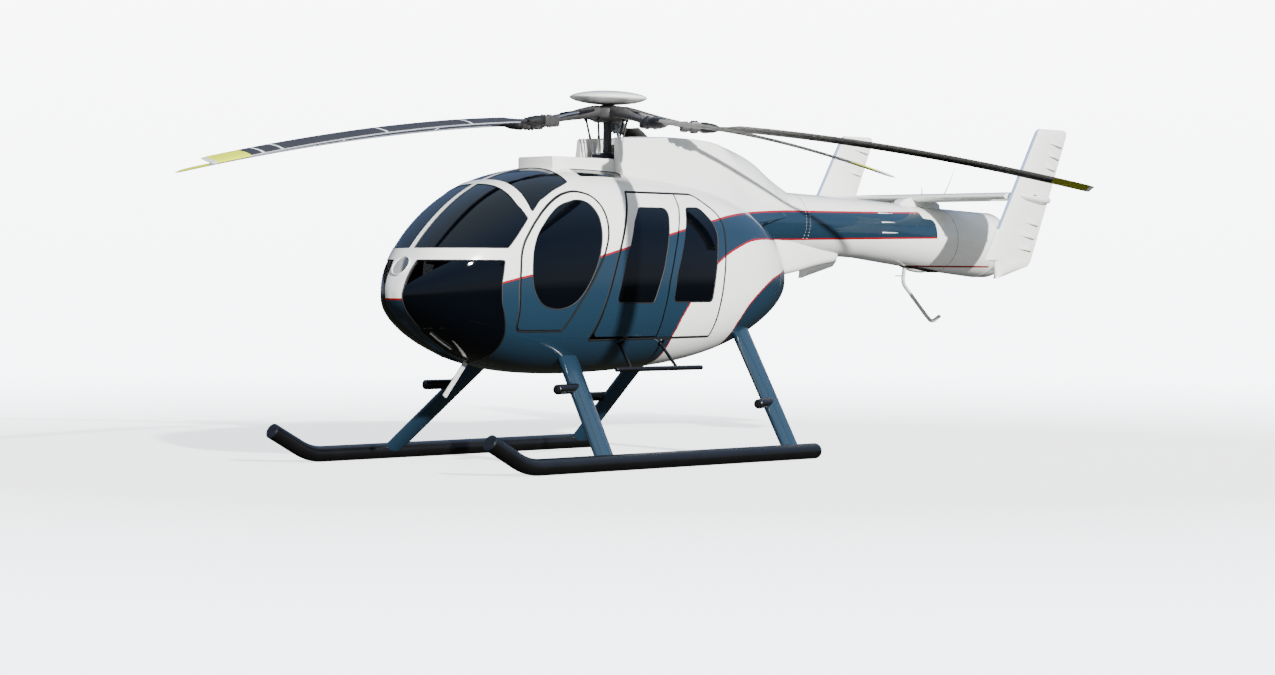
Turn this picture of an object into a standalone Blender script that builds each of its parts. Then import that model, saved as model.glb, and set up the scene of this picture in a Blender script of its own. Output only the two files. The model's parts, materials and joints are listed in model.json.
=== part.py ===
"""Light helicopter with an egg-shaped cabin pod, skids, a five-blade rotor,
a round tail boom without a tail rotor, and twin end fins.

Metres, +Z up, nose toward -Y, port side toward +X, ground at z = 0.
Lengths along the body are measured from the rotor mast and then moved by
DATUM_Y, so that the origin is under the middle of the outline.
"""
import math
import bpy
import bmesh
import numpy as np
from mathutils import Matrix, Vector

for ob in list(bpy.data.objects):
    bpy.data.objects.remove(ob, do_unlink=True)

# ---------------------------------------------------------------- sizes
DATUM_Y = -0.618         # mast position along Y, so the outline is centred
GAP = 0.0003             # between pieces that touch
SHELL = 0.022            # cabin wall and door thickness
DOOR_GAP = 0.012         # free gap round each door
SPLIT_GAP = 0.016        # free gap between the two rear door leaves
GLASS_T = 0.006          # pane thickness
GLASS_SINK = 0.004       # pane face below the skin
GLASS_GAP = 0.0015       # edge gap of a pane

# cabin pod: ends (y, z) and shape coefficients from nose to tail
POD_NOSE = (-2.370, 1.334)
POD_TAIL = (2.083, 1.475)
POD_TOP = (1.452, 3.020, 1.620, 1.553, 2.241, 1.585)
POD_BELLY = (1.045, 1.918, 1.121, 1.215, 1.770, 0.940)
POD_WIDTH = (1.657, 1.723, 1.213, 1.334, 1.538, 1.687)
POD_WAIST = (0.232, 0.079, 0.022)
POD_ROUND_TOP, POD_ROUND_BELLY = 2.60, 2.42

SKID_R, SKID_X = 0.064, 1.221
ROTOR_R, HUB_Z = 4.165, 2.830
ROTOR_TILT = 0.025       # mast leans to port
TILT_Z = 1.81            # height where the leaning axis crosses the centre plane
BLADE_CHORD = 0.175
BLADES = 5
FIN_X, FIN_T = 1.125, 0.055

WHITE = ((0.80, 0.82, 0.80, 1), 0.25, 0.0)
BLUE = ((0.045, 0.105, 0.165, 1), 0.25, 0.0)
GLASS = ((0.012, 0.018, 0.030, 1), 0.05, 0.0)
BLACK = ((0.012, 0.012, 0.014, 1), 0.45, 0.0)
GREY = ((0.22, 0.22, 0.23, 1), 0.40, 0.6)
DARK = ((0.05, 0.05, 0.055, 1), 0.50, 0.0)
SEAT = ((0.10, 0.10, 0.11, 1), 0.80, 0.0)
METAL = ((0.45, 0.45, 0.46, 1), 0.35, 0.9)

SIDES = (("port", 1), ("stbd", -1))

datum = bpy.data.objects.new("airframe_datum", None)
bpy.context.scene.collection.objects.link(datum)
datum.location = (0, DATUM_Y, 0)
bpy.context.view_layer.update()


# ---------------------------------------------------------------- helpers
def material(name, look):
    mat = bpy.data.materials.get(name)
    if mat is None:
        mat = bpy.data.materials.new(name)
        mat.use_nodes = True
        bsdf = mat.node_tree.nodes["Principled BSDF"]
        bsdf.inputs["Base Color"].default_value = look[0]
        bsdf.inputs["Roughness"].default_value = look[1]
        bsdf.inputs["Metallic"].default_value = look[2]
        mat.diffuse_color = look[0]
    return mat


def new_object(name, verts, faces):
    mesh = bpy.data.meshes.new(name)
    mesh.from_pydata([tuple(v) for v in verts], [], [tuple(f) for f in faces])
    mesh.validate()
    mesh.update()
    ob = bpy.data.objects.new(name, mesh)
    bpy.context.scene.collection.objects.link(ob)
    return ob


def apply_modifiers(ob):
    deps = bpy.context.evaluated_depsgraph_get()
    mesh = bpy.data.meshes.new_from_object(ob.evaluated_get(deps))
    ob.modifiers.clear()
    old = ob.data
    ob.data = mesh
    mesh.name = ob.name
    bpy.data.meshes.remove(old)


def boolean(ob, cutter, operation, keep=False, solver="EXACT"):
    mod = ob.modifiers.new("cut", "BOOLEAN")
    mod.object = cutter
    mod.operation = operation
    mod.solver = solver
    apply_modifiers(ob)
    if not keep:
        bpy.data.objects.remove(cutter, do_unlink=True)
    return ob


def copy_of(ob, name):
    new = bpy.data.objects.new(name, ob.data.copy())
    bpy.context.scene.collection.objects.link(new)
    return new


def tidy(ob, dist=2e-5):
    bm = bmesh.new()
    bm.from_mesh(ob.data)
    bmesh.ops.remove_doubles(bm, verts=bm.verts, dist=dist)
    bmesh.ops.dissolve_degenerate(bm, edges=bm.edges, dist=dist)
    bmesh.ops.dissolve_limit(bm, angle_limit=math.radians(0.05), verts=bm.verts, edges=bm.edges)
    bmesh.ops.triangulate(bm, faces=bm.faces)
    bm.to_mesh(ob.data)
    bm.free()


def finish(ob, look_name, look, parent=datum, smooth=True, clean=True):
    """Give the piece its material and hang it on its parent, in place."""
    if clean:
        tidy(ob)
    ob.data.materials.clear()
    ob.data.materials.append(material(look_name, look))
    if smooth:
        ob.data.shade_smooth()
        ob.data.set_sharp_from_angle(angle=math.radians(35))
    ob.parent = parent
    if parent is not datum:
        # vertices were made in mast coordinates; bring them to the pivot's frame
        ob.data.transform(parent.matrix_world.inverted() @ datum.matrix_world)
    return ob


def box(name, lo, hi):
    x0, y0, z0 = lo
    x1, y1, z1 = hi
    v = [(x0, y0, z0), (x1, y0, z0), (x1, y1, z0), (x0, y1, z0),
         (x0, y0, z1), (x1, y0, z1), (x1, y1, z1), (x0, y1, z1)]
    f = [(3, 2, 1, 0), (4, 5, 6, 7), (0, 1, 5, 4), (1, 2, 6, 5), (2, 3, 7, 6), (3, 0, 4, 7)]
    return new_object(name, v, f)


def area(pts):
    return 0.5 * sum(pts[i - 1][0] * pts[i][1] - pts[i][0] * pts[i - 1][1] for i in range(len(pts)))


def prism(name, pts, a, b, axis="x"):
    """Extrude a 2-D outline. axis x: points are (y, z); y: (x, z); z: (x, y)."""
    pts = list(pts)
    if area(pts) < 0:
        pts.reverse()
    lo, hi = min(a, b), max(a, b)
    put = {"x": lambda p, t: (t, p[0], p[1]), "y": lambda p, t: (p[0], t, p[1]),
           "z": lambda p, t: (p[0], p[1], t)}[axis]
    n = len(pts)
    v = [put(p, lo) for p in pts] + [put(p, hi) for p in pts]
    f = [tuple(range(n))[::-1], tuple(range(n, 2 * n))]
    f += [(i, (i + 1) % n, n + (i + 1) % n, n + i) for i in range(n)]
    if axis == "y":
        f = [tuple(reversed(q)) for q in f]
    return new_object(name, v, f)


def rounded(rows, steps=4):
    """Outline from corner rows (u, v, corner radius)."""
    out = []
    n = len(rows)
    for i, (u, v, r) in enumerate(rows):
        p = Vector((u, v))
        a = Vector(rows[i - 1][:2]) - p
        b = Vector(rows[(i + 1) % n][:2]) - p
        if r <= 0:
            out.append((u, v))
            continue
        half = a.angle(b) / 2
        d = min(r / math.tan(half), 0.49 * a.length, 0.49 * b.length)
        p0, p1 = p + a.normalized() * d, p + b.normalized() * d
        for k in range(steps + 1):
            t = k / steps
            q = p0 * (1 - t) ** 2 + p * 2 * t * (1 - t) + p1 * t ** 2
            out.append((q.x, q.y))
    return out


def inset(pts, d):
    """Move an outline inward by d."""
    pts = list(pts)
    if area(pts) < 0:
        pts.reverse()
    out = []
    n = len(pts)
    for i in range(n):
        p0, p, p1 = (Vector(pts[(i + k) % n]) for k in (-1, 0, 1))
        e0, e1 = (p - p0).normalized(), (p1 - p).normalized()
        n0, n1 = Vector((-e0.y, e0.x)), Vector((-e1.y, e1.x))
        m = (n0 + n1).normalized()
        out.append(tuple(p + m * d / max(0.35, m.dot(n0))))
    return out


def inset_rows(rows, d):
    """Corner rows moved inward by d, with their radii cut back."""
    rows = list(rows)
    flip = area([r[:2] for r in rows]) < 0
    if flip:
        rows.reverse()
    pts = inset([r[:2] for r in rows], d)
    out = [(u, v, max(0.004, r[2] - d) if r[2] > 0 else 0) for (u, v), r in zip(pts, rows)]
    return out


def loft(name, rings):
    """Close a stack of rings with equal point counts into a solid."""
    n = len(rings[0])
    v = [tuple(p) for ring in rings for p in ring]
    f = []
    for k in range(len(rings) - 1):
        for i in range(n):
            j = (i + 1) % n
            f.append((k * n + i, k * n + j, (k + 1) * n + j, (k + 1) * n + i))
    f.append(tuple(range(n))[::-1])
    f.append(tuple((len(rings) - 1) * n + i for i in range(n)))
    ob = new_object(name, v, f)
    bm = bmesh.new()
    bm.from_mesh(ob.data)
    bmesh.ops.recalc_face_normals(bm, faces=bm.faces)
    bm.to_mesh(ob.data)
    bm.free()
    return ob


def tube(name, path, radii, sides=12, flat=1.0):
    """Round bar along a path; flat squeezes it across the first axis."""
    rings = []
    path = [Vector(p) for p in path]
    if not hasattr(radii, "__len__"):
        radii = [radii] * len(path)
    for i, p in enumerate(path):
        d = (path[min(i + 1, len(path) - 1)] - path[max(i - 1, 0)]).normalized()
        side = d.cross(Vector((0, 1, 0)) if abs(d.y) < 0.8 else Vector((1, 0, 0))).normalized()
        up = side.cross(d).normalized()
        rings.append([p + side * math.cos(a) * radii[i] * flat + up * math.sin(a) * radii[i]
                      for a in (2 * math.pi * k / sides for k in range(sides))])
    return loft(name, rings)


def turned(name, profile, sides=24):
    """Turn (radius, z) rows about Z; the first and last radius are 0."""
    v, f = [(0, 0, profile[0][1])], []
    for r, z in profile[1:-1]:
        v += [(r * math.cos(2 * math.pi * k / sides), r * math.sin(2 * math.pi * k / sides), z)
              for k in range(sides)]
    v.append((0, 0, profile[-1][1]))
    rows = len(profile) - 2
    for k in range(sides):
        j = (k + 1) % sides
        f.append((0, 1 + k, 1 + j))
        for r in range(rows - 1):
            f.append((1 + r * sides + k, 1 + (r + 1) * sides + k, 1 + (r + 1) * sides + j, 1 + r * sides + j))
        f.append((len(v) - 1, 1 + (rows - 1) * sides + j, 1 + (rows - 1) * sides + k))
    ob = new_object(name, v, f)
    bm = bmesh.new()
    bm.from_mesh(ob.data)
    bmesh.ops.recalc_face_normals(bm, faces=bm.faces)
    bm.to_mesh(ob.data)
    bm.free()
    return ob


def mirror_x(ob, name):
    new = copy_of(ob, name)
    new.data.transform(Matrix.Diagonal((-1, 1, 1, 1)))
    new.data.flip_normals()
    return new


# ---------------------------------------------------------------- pod surface
def shape(t, coef, power):
    m = len(coef) - 1
    total = sum(math.comb(m, i) * t ** i * (1 - t) ** (m - i) * c for i, c in enumerate(coef))
    return (t * (1 - t)) ** power * total


def pod_section(t):
    """y, top z, belly z, half-width and waist z at t = 0 (nose) to 1 (tail)."""
    y = POD_NOSE[0] + (POD_TAIL[0] - POD_NOSE[0]) * t
    line = POD_NOSE[1] + (POD_TAIL[1] - POD_NOSE[1]) * t
    return (y, line + shape(t, POD_TOP, 0.5), line - shape(t, POD_BELLY, 0.5),
            shape(t, POD_WIDTH, 0.5), line + shape(t, POD_WAIST, 1.0))


def pod_point(t, q):
    y, top, belly, w, waist = pod_section(t)
    c, s = math.cos(q), math.sin(q)
    e = 2 / (POD_ROUND_TOP if s >= 0 else POD_ROUND_BELLY)
    x = w * math.copysign(abs(c) ** e, c)
    z = waist + ((top - waist) if s >= 0 else (waist - belly)) * math.copysign(abs(s) ** e, s)
    return Vector((x, y, z))


def pod_grid(offset, stations=20, around=28):
    """Closed surface of the pod, moved along its normal by offset."""
    rows = []
    for i in range(1, stations):
        t = (1 - math.cos(math.pi * i / stations)) / 2
        row = []
        for j in range(around):
            q = 2 * math.pi * j / around
            e = 1e-4
            # sample a little off the four axis points, where the power law is flat
            du = pod_point(t, q + e) - pod_point(t, q - e)
            dv = pod_point(min(1, t + e), q) - pod_point(max(0, t - e), q)
            nrm = dv.cross(du)
            if nrm.length < 1e-12:
                nrm = Vector((math.cos(q), 0, math.sin(q)))
            nrm.normalize()
            p = pod_point(t, q)
            mid = Vector((0, p.y, pod_section(t)[4]))
            if nrm.dot(p - mid) < 0:
                nrm = -nrm
            row.append(p + nrm * offset)
        rows.append(row)
    v = [Vector((0, POD_NOSE[0] - offset, POD_NOSE[1]))]
    for row in rows:
        v += row
    v.append(Vector((0, POD_TAIL[0] + offset, POD_TAIL[1])))
    n = around
    f = []
    for j in range(n):
        k = (j + 1) % n
        f.append((0, 1 + j, 1 + k))
        for r in range(len(rows) - 1):
            a, b, c, d = 1 + r * n + j, 1 + (r + 1) * n + j, 1 + (r + 1) * n + k, 1 + r * n + k
            # diagonals mirrored port to starboard, and the same at every offset
            f += [(a, b, c), (a, c, d)] if math.cos(2 * math.pi * (j + 0.5) / n) > 0 else [(a, b, d), (b, c, d)]
        f.append((len(v) - 1, 1 + (len(rows) - 1) * n + k, 1 + (len(rows) - 1) * n + j))
    return v, f


def pod_solid(name, offset=0.0):
    v, f = pod_grid(offset)
    ob = new_object(name, v, f)
    bm = bmesh.new()
    bm.from_mesh(ob.data)
    bmesh.ops.recalc_face_normals(bm, faces=bm.faces)
    bm.to_mesh(ob.data)
    bm.free()
    return ob


def pod_shell(name, outer, inner):
    """Wall between two offsets of the pod surface, as one mesh with a hollow."""
    ob = pod_solid(name, outer)
    other = pod_solid(name + "_in", inner)
    boolean(ob, other, "DIFFERENCE")
    return ob


# ---------------------------------------------------------------- openings
# corner rows: y, z, corner radius
FRONT_DOOR = ((-1.585, 1.062, 0.060), (-1.149, 1.062, 0.012), (-1.023, 1.249, 0.90), (-0.875, 1.447, 0.90), (-0.742, 1.646, 0.90),
              (-0.672, 1.800, 0.90), (-0.652, 1.935, 0.90), (-0.676, 2.055, 0.90), (-0.750, 2.136, 0.90), (-0.900, 2.170, 0.90),
              (-1.075, 2.134, 0.90), (-1.270, 2.028, 0.90), (-1.428, 1.884, 0.90), (-1.530, 1.758, 0.90), (-1.572, 1.660, 0.90),
              (-1.598, 1.400, 0.90))
FRONT_WINDOW = ((-1.460, 1.690, 0.90), (-1.479, 1.540, 0.90), (-1.472, 1.390, 0.90), (-1.388, 1.258, 0.90), (-1.212, 1.222, 0.90),
                (-1.045, 1.276, 0.90), (-0.916, 1.412, 0.90), (-0.797, 1.612, 0.90), (-0.735, 1.828, 0.90), (-0.739, 1.980, 0.90),
                (-0.802, 2.074, 0.90), (-0.914, 2.099, 0.90), (-1.122, 2.050, 0.90), (-1.262, 1.955, 0.90), (-1.398, 1.820, 0.90))
REAR_DOORS = ((-0.835, 0.985, 0.015), (-0.745, 1.240, 0.40), (-0.600, 1.620, 0.40), (-0.440, 1.960, 0.40),
              (-0.325, 2.172, 0.015), (0.530, 2.172, 0.18), (0.790, 1.985, 0.20), (0.735, 1.550, 0.50),
              (0.680, 1.250, 0.40), (0.655, 1.000, 0.015))
DOOR_SPLIT = ((-0.060, 0.90), (-0.030, 1.20), (0.020, 1.45), (0.094, 1.686), (0.175, 1.882), (0.252, 2.052),
              (0.310, 2.30))
MID_WINDOW = ((-0.605, 1.280, 0.045), (-0.165, 1.278, 0.045), (-0.050, 1.540, 0.40), (0.045, 1.830, 0.30),
              (0.105, 2.048, 0.060), (-0.250, 2.046, 0.050), (-0.345, 1.930, 0.20), (-0.500, 1.590, 0.50))
AFT_WINDOW = ((0.070, 1.285, 0.045), (0.565, 1.288, 0.045), (0.625, 1.580, 0.40), (0.685, 1.900, 0.20),
              (0.520, 2.060, 0.100), (0.340, 2.056, 0.045), (0.245, 1.840, 0.30), (0.120, 1.530, 0.40))
WINDSHIELD = ((-2.90, 1.706, 0), (-1.672, 1.706, 0.015), (-1.448, 1.940, 0.015), (-1.490, 2.060, 0.08),
              (-1.487, 2.90, 0), (-2.90, 2.90, 0))
ROOF_WINDOW = ((-1.396, 1.985, 0.012), (-1.290, 2.075, 0.20), (-1.120, 2.158, 0.30), (-0.900, 2.236, 0.012),
               (-0.925, 2.90, 0), (-1.396, 2.90, 0))
CHIN_WINDOW = ((-2.90, 1.612, 0), (-1.710, 1.612, 0.015), (-1.743, 1.440, 0.20), (-1.742, 1.290, 0.20),
               (-1.655, 1.040, 0.25), (-1.620, 0.870, 0.10), (-1.640, 0.60, 0), (-2.90, 0.60, 0))
STRIP_HALF = 0.027       # centre strip of the windshield, half-width
CHIN_INNER = ((0.130, 1.70), (0.128, 1.606), (0.117, 1.540), (0.110, 1.473), (0.104, 1.400), (0.094, 1.345), (0.092, 1.240),
              (0.089, 1.152), (0.080, 1.062), (0.068, 0.954), (0.057, 0.870), (0.052, 0.50))   # x, z of the chin window's inner edge
SKYLIGHT = ((0.222, -0.665, 0.02), (0.385, -0.705, 0.02), (0.380, -0.215, 0.06), (0.235, -0.100, 0.04))   # x, y
FLOOR_Z = 0.930
CUT_Y = -1.440           # canopy frame to roof joint
CUT_TAIL = 0.805         # roof and belly to rear fuselage joint
CUT_SILL = 1.045         # belly to pillar joint
CUT_ROOF = 1.930         # pillar to roof joint


def split_outline(side):
    """Half-plane outline in front of (-1) or behind (+1) the door split."""
    pts = [(y + side * SPLIT_GAP / 2, z) for y, z in DOOR_SPLIT]
    return pts + [(side * 3.0, DOOR_SPLIT[-1][1]), (side * 3.0, DOOR_SPLIT[0][1])]


def pane_cutter(name, kind, sx, shrink=0.0):
    """Prism that cuts one pane's opening, shrunk for the pane itself."""
    near = STRIP_HALF if kind != "chin" else 0.05
    if kind == "skylight":
        pts = rounded(inset_rows(SKYLIGHT, shrink))
        return prism(name, [(sx * x, y) for x, y in pts], 1.9, 2.7, axis="z")
    rows = {"windshield": WINDSHIELD, "roof": ROOF_WINDOW, "chin": CHIN_WINDOW}[kind]
    pts = rounded(inset_rows(rows, shrink))
    ob = prism(name, pts, sx * (near + shrink), sx * 1.2)
    if kind == "chin":
        edge = [(x + shrink, z) for x, z in CHIN_INNER]
        pts = edge + [(1.1, 0.50), (1.1, 1.70)]
        boolean(ob, prism("edge", [(sx * x, z) for x, z in pts], -3.2, -1.0, axis="y"), "INTERSECT")
    return ob


def door_prism(name, rows, sx, shrink=0.0):
    return prism(name, rounded(inset_rows(rows, shrink)), sx * 0.30, sx * 1.0)


PANES = (("windshield", "windshield"), ("roof_window", "roof"), ("chin_window", "chin"), ("skylight", "skylight"))

skin = pod_shell("skin", 0.0, -SHELL)
whole_skin = copy_of(skin, "whole_skin")
glass_skin = pod_shell("glass_skin", -GLASS_SINK, -GLASS_SINK - GLASS_T)

for side, sx in SIDES:
    for node, kind in PANES:
        boolean(skin, pane_cutter("hole", kind, sx), "DIFFERENCE")
    boolean(skin, door_prism("hole", FRONT_DOOR, sx), "DIFFERENCE")
    boolean(skin, door_prism("hole", REAR_DOORS, sx), "DIFFERENCE")

BIG = 3.0
# node: low corner, high corner of the stretch of skin it takes
SKIN_PARTS = (
    ("canopy_frame", (-BIG, -BIG, 0), (BIG, CUT_Y, BIG)),
    ("roof_shell", (-BIG, CUT_Y + GAP, CUT_ROOF), (BIG, CUT_TAIL, BIG)),
    ("pillar_port", (0, CUT_Y + GAP, CUT_SILL + GAP), (BIG, 0.30, CUT_ROOF - GAP)),
    ("pillar_stbd", (-BIG, CUT_Y + GAP, CUT_SILL + GAP), (0, 0.30, CUT_ROOF - GAP)),
    ("belly_pan", (-BIG, CUT_Y + GAP, 0), (BIG, CUT_TAIL, CUT_SILL)),
    ("rear_fuselage", (-BIG, CUT_TAIL + GAP, 0), (BIG, BIG, BIG)),
)
# the door posts behind the rear doors belong to the rear fuselage
POST_LO, POST_HI = (-BIG, 0.50, CUT_SILL + GAP), (BIG, CUT_TAIL + 0.05, CUT_ROOF - GAP)


def largest_piece(ob):
    """Keep the biggest connected piece of a mesh."""
    bm = bmesh.new()
    bm.from_mesh(ob.data)
    bm.verts.ensure_lookup_table()
    seen, groups = set(), []
    for v in bm.verts:
        if v in seen:
            continue
        stack, group = [v], []
        seen.add(v)
        while stack:
            w = stack.pop()
            group.append(w)
            for e in w.link_edges:
                o = e.other_vert(w)
                if o not in seen:
                    seen.add(o)
                    stack.append(o)
        groups.append(group)
    groups.sort(key=lambda g: -len(g))
    for group in groups[1:]:
        bmesh.ops.delete(bm, geom=group, context="VERTS")
    bm.to_mesh(ob.data)
    bm.free()
    return len(groups)


for node, lo, hi in SKIN_PARTS:
    piece = copy_of(skin, node)
    region = box("region", lo, hi)
    if node == "rear_fuselage":
        boolean(region, box("post", POST_LO, POST_HI), "UNION")
    boolean(piece, region, "INTERSECT")
    tidy(piece)
    largest_piece(piece)
    finish(piece, "body_white", WHITE)

# panes
for side, sx in SIDES:
    for node, kind in PANES:
        pane = copy_of(glass_skin, "%s_%s" % (node, side))
        boolean(pane, pane_cutter("keep", kind, sx, GLASS_GAP), "INTERSECT")
        finish(pane, "tinted_glass", GLASS)

# ---------------------------------------------------------------- doors
# hinge rows: node, outline, window, point on hinge (x, y, z), upper point (x, y, z)
HINGES = {
    "front_door": ((0.622, -1.572, 1.15), (0.622, -1.572, 1.70)),
    "mid_door": ((0.687, -0.772, 1.177), (0.708, -0.559, 1.721)),
    "aft_door": ((0.690, 0.676, 1.139), (0.690, 0.761, 1.778)),
}
# the middle leaf is cut back at its hinge edge and lower corner, so that it swings clear
MID_LEAF = ((-0.815, 1.003, 0.050), (-0.741, 1.240, 0.40), (-0.596, 1.620, 0.40), (-0.436, 1.960, 0.40)) + REAR_DOORS[4:]
DOORS = (("front_door", FRONT_DOOR, FRONT_WINDOW, 0), ("mid_door", MID_LEAF, MID_WINDOW, -1),
         ("aft_door", REAR_DOORS, AFT_WINDOW, 1))
for side, sx in SIDES:
    for node, outline, window, leaf in DOORS:
        low, high = (Vector((p[0] * sx, p[1], p[2])) for p in HINGES[node])
        pivot = bpy.data.objects.new("pivot_%s_%s" % (node, side), None)
        bpy.context.scene.collection.objects.link(pivot)
        pivot.parent = datum
        pivot.location = low
        pivot.rotation_euler = (high - low).to_track_quat("Z", "Y").to_euler()
        bpy.context.view_layer.update()
        door = copy_of(whole_skin, "%s_%s" % (node, side))
        boolean(door, door_prism("keep", outline, sx, DOOR_GAP), "INTERSECT")
        if leaf:
            boolean(door, prism("keep", split_outline(leaf), sx * 0.2, sx * 1.1), "INTERSECT")
        boolean(door, door_prism("hole", window, sx), "DIFFERENCE")
        finish(door, "door_white", WHITE, pivot)
        pane = copy_of(glass_skin, "%s_glass_%s" % (node, side))
        boolean(pane, door_prism("keep", window, sx, GLASS_GAP), "INTERSECT")
        finish(pane, "tinted_glass", GLASS, pivot)

bpy.data.objects.remove(skin, do_unlink=True)
bpy.data.objects.remove(whole_skin, do_unlink=True)
bpy.data.objects.remove(glass_skin, do_unlink=True)

# ---------------------------------------------------------------- cabin inside
room = pod_solid("room", -SHELL - 0.0005)
floor = copy_of(room, "cabin_floor")
boolean(floor, box("keep", (-1, -1.60, FLOOR_Z - 0.025), (1, CUT_TAIL - GAP, FLOOR_Z)), "INTERSECT")
finish(floor, "floor_dark", DARK)
wall = copy_of(room, "rear_bulkhead")
boolean(wall, box("keep", (-1, CUT_TAIL + GAP, 0), (1, CUT_TAIL + 0.02, 3)), "INTERSECT")
finish(wall, "floor_dark", DARK)
bpy.data.objects.remove(room, do_unlink=True)

finish(box("engine_block", (-0.22, CUT_TAIL + 0.02 + GAP, 1.20), (0.22, 1.62, 1.62)), "engine_grey", GREY)


def seat(name, x0, x1, y_front, y_back, z_floor, z_seat, z_head, lean):
    """Side outline of a seat, from x0 to x1: base, cushion and back."""
    rows = ((y_front + 0.06, z_floor, 0), (y_back, z_floor, 0), (y_back + lean, z_head, 0.04),
            (y_back + lean - 0.09, z_head, 0.04), (y_back - 0.13, z_seat, 0.03), (y_front, z_seat + 0.02, 0.04),
            (y_front, z_seat - 0.10, 0.03))
    return prism(name, rounded(rows, 3), x0, x1)


for side, sx in SIDES:
    a, b = sorted((sx * 0.04, sx * 0.44))
    finish(seat("front_seat_" + side, a, b, -1.28, -0.80, FLOOR_Z + GAP, 1.24, 1.86, 0.16), "seat_fabric", SEAT)
finish(seat("rear_bench", -0.45, 0.45, 0.10, 0.56, FLOOR_Z + GAP, 1.24, 1.84, 0.16), "seat_fabric", SEAT)

console = prism("instrument_console",
                rounded(((-1.56, FLOOR_Z + GAP, 0), (-1.40, FLOOR_Z + GAP, 0), (-1.44, 1.20, 0.03), (-1.62, 1.56, 0.03),
                         (-1.80, 1.58, 0.03), (-1.80, 1.42, 0.03)), 3), -0.15, 0.15)
finish(console, "panel_black", DARK)

# ---------------------------------------------------------------- upper fairings and tail
# rows: y, top z, top half-width, shoulder z, shoulder half-width, foot half-width, foot z
DOGHOUSE = ((-0.100, 2.630, 0.208, 2.600, 0.232, 0.330, 2.20), (0.25, 2.645, 0.208, 2.612, 0.232, 0.400, 2.15),
            (0.70, 2.655, 0.200, 2.618, 0.226, 0.450, 2.05), (1.15, 2.635, 0.170, 2.580, 0.224, 0.450, 1.95),
            (1.50, 2.585, 0.080, 2.390, 0.226, 0.400, 1.90), (1.80, 2.490, 0.050, 2.230, 0.232, 0.320, 1.95),
            (2.05, 2.350, 0.040, 2.120, 0.232, 0.255, 2.00), (2.299, 2.230, 0.040, 2.060, 0.230, 0.240, 2.02))
BOOM_ROOT, BOOM_END = 2.300, 5.000
CONE_END = 5.400
# rows: y, centre z, radius
BOOM = ((1.250, 1.968, 0.250), (2.300, 1.972, 0.262), (3.255, 1.936, 0.266), (4.342, 1.852, 0.292),
        (5.000, 1.812, 0.306))
INLET_HALF, INLET_BACK, INLET_FLOOR = 0.192, 0.260, 2.395


def ring_y(y, zc, r, n=28):
    return [Vector((r * math.cos(2 * math.pi * k / n), y, zc + r * math.sin(2 * math.pi * k / n))) for k in range(n)]


def boom_at(y):
    for (y0, z0, r0), (y1, z1, r1) in zip(BOOM, BOOM[1:]):
        if y <= y1:
            t = (y - y0) / (y1 - y0)
            return z0 + t * (z1 - z0), r0 + t * (r1 - r0)
    return BOOM[-1][1:]


pod_cut = pod_solid("pod_cut", 3 * GAP)

rings = []
for y, zt, xt, zs, xs, xf, zf in DOGHOUSE:
    right = [(xf, zf), (xf * 0.62 + xs * 0.38, zf + 0.30 * (zs - zf)), (xs * 1.04, zf + 0.72 * (zs - zf)), (xs, zs),
             (xt, zt)]
    pts = right + [(-x, z) for x, z in reversed(right)]
    rings.append([Vector((x, y, z)) for x, z in pts])
doghouse = loft("doghouse", rings)
boolean(doghouse, loft("root", [ring_y(y, *boom_at(y)) for y in (1.25, 1.8, 2.299)]), "UNION")
boolean(doghouse, box("inlet", (-INLET_HALF, -0.5, INLET_FLOOR), (INLET_HALF, INLET_BACK, 3.0)), "DIFFERENCE")
boolean(doghouse, pod_cut, "DIFFERENCE", keep=True)
tidy(doghouse)
largest_piece(doghouse)
finish(doghouse, "body_white", WHITE)

fairing = prism("roof_fairing", rounded(((-0.195, 2.20, 0), (0.195, 2.20, 0), (0.195, 2.450, 0.03),
                                         (-0.195, 2.450, 0.03)), 3), -0.820, -0.101, axis="y")
boolean(fairing, pod_cut, "DIFFERENCE", keep=True)
tidy(fairing)
largest_piece(fairing)
finish(fairing, "body_white", WHITE)

boom = loft("tail_boom", [ring_y(y, *boom_at(y)) for y in (BOOM_ROOT, 3.255, 4.342, BOOM_END)])

# thruster at the tail end: drum, step and dome
finish(loft("thruster_cone", [ring_y(y, *row) for y, row in (
    (BOOM_END + GAP, (1.812, 0.300)), (5.04, (1.810, 0.306)), (5.22, (1.805, 0.300)), (5.32, (1.802, 0.262)),
    (5.375, (1.800, 0.180)), (CONE_END, (1.800, 0.070)))]), "body_white", WHITE)

# exhaust fairing under the boom root; rows: y, half-width, top z, bottom z
rings = []
for y, w, z1, z0 in ((1.55, 0.205, 1.865, 1.462), (2.05, 0.205, 1.865, 1.507), (2.45, 0.165, 1.845, 1.572), (2.90, 0.108, 1.805, 1.627)):
    pts = rounded(((-w, z1, 0), (w, z1, 0), (w * 0.9, z0, 0.05), (-w * 0.9, z0, 0.05)), 3)
    rings.append([Vector((x, y, z)) for x, z in pts])
exhaust = loft("exhaust_fairing", rings)
boolean(exhaust, pod_cut, "DIFFERENCE", keep=True)
boolean(exhaust, loft("b", [ring_y(y, boom_at(max(y, 1.25))[0], boom_at(y)[1] + GAP) for y in (1.25, 2.3, 3.255, 4.3)]),
        "DIFFERENCE")
tidy(exhaust)
largest_piece(exhaust)
finish(exhaust, "body_white", WHITE)

# stabiliser across the boom's top, on a saddle; airfoil section swept along X
STAB_Y0, STAB_Y1, STAB_Z, STAB_T = 4.020, 4.620, 2.226, 0.078
STAB_HALF = FIN_X - FIN_T / 2 - GAP


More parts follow.
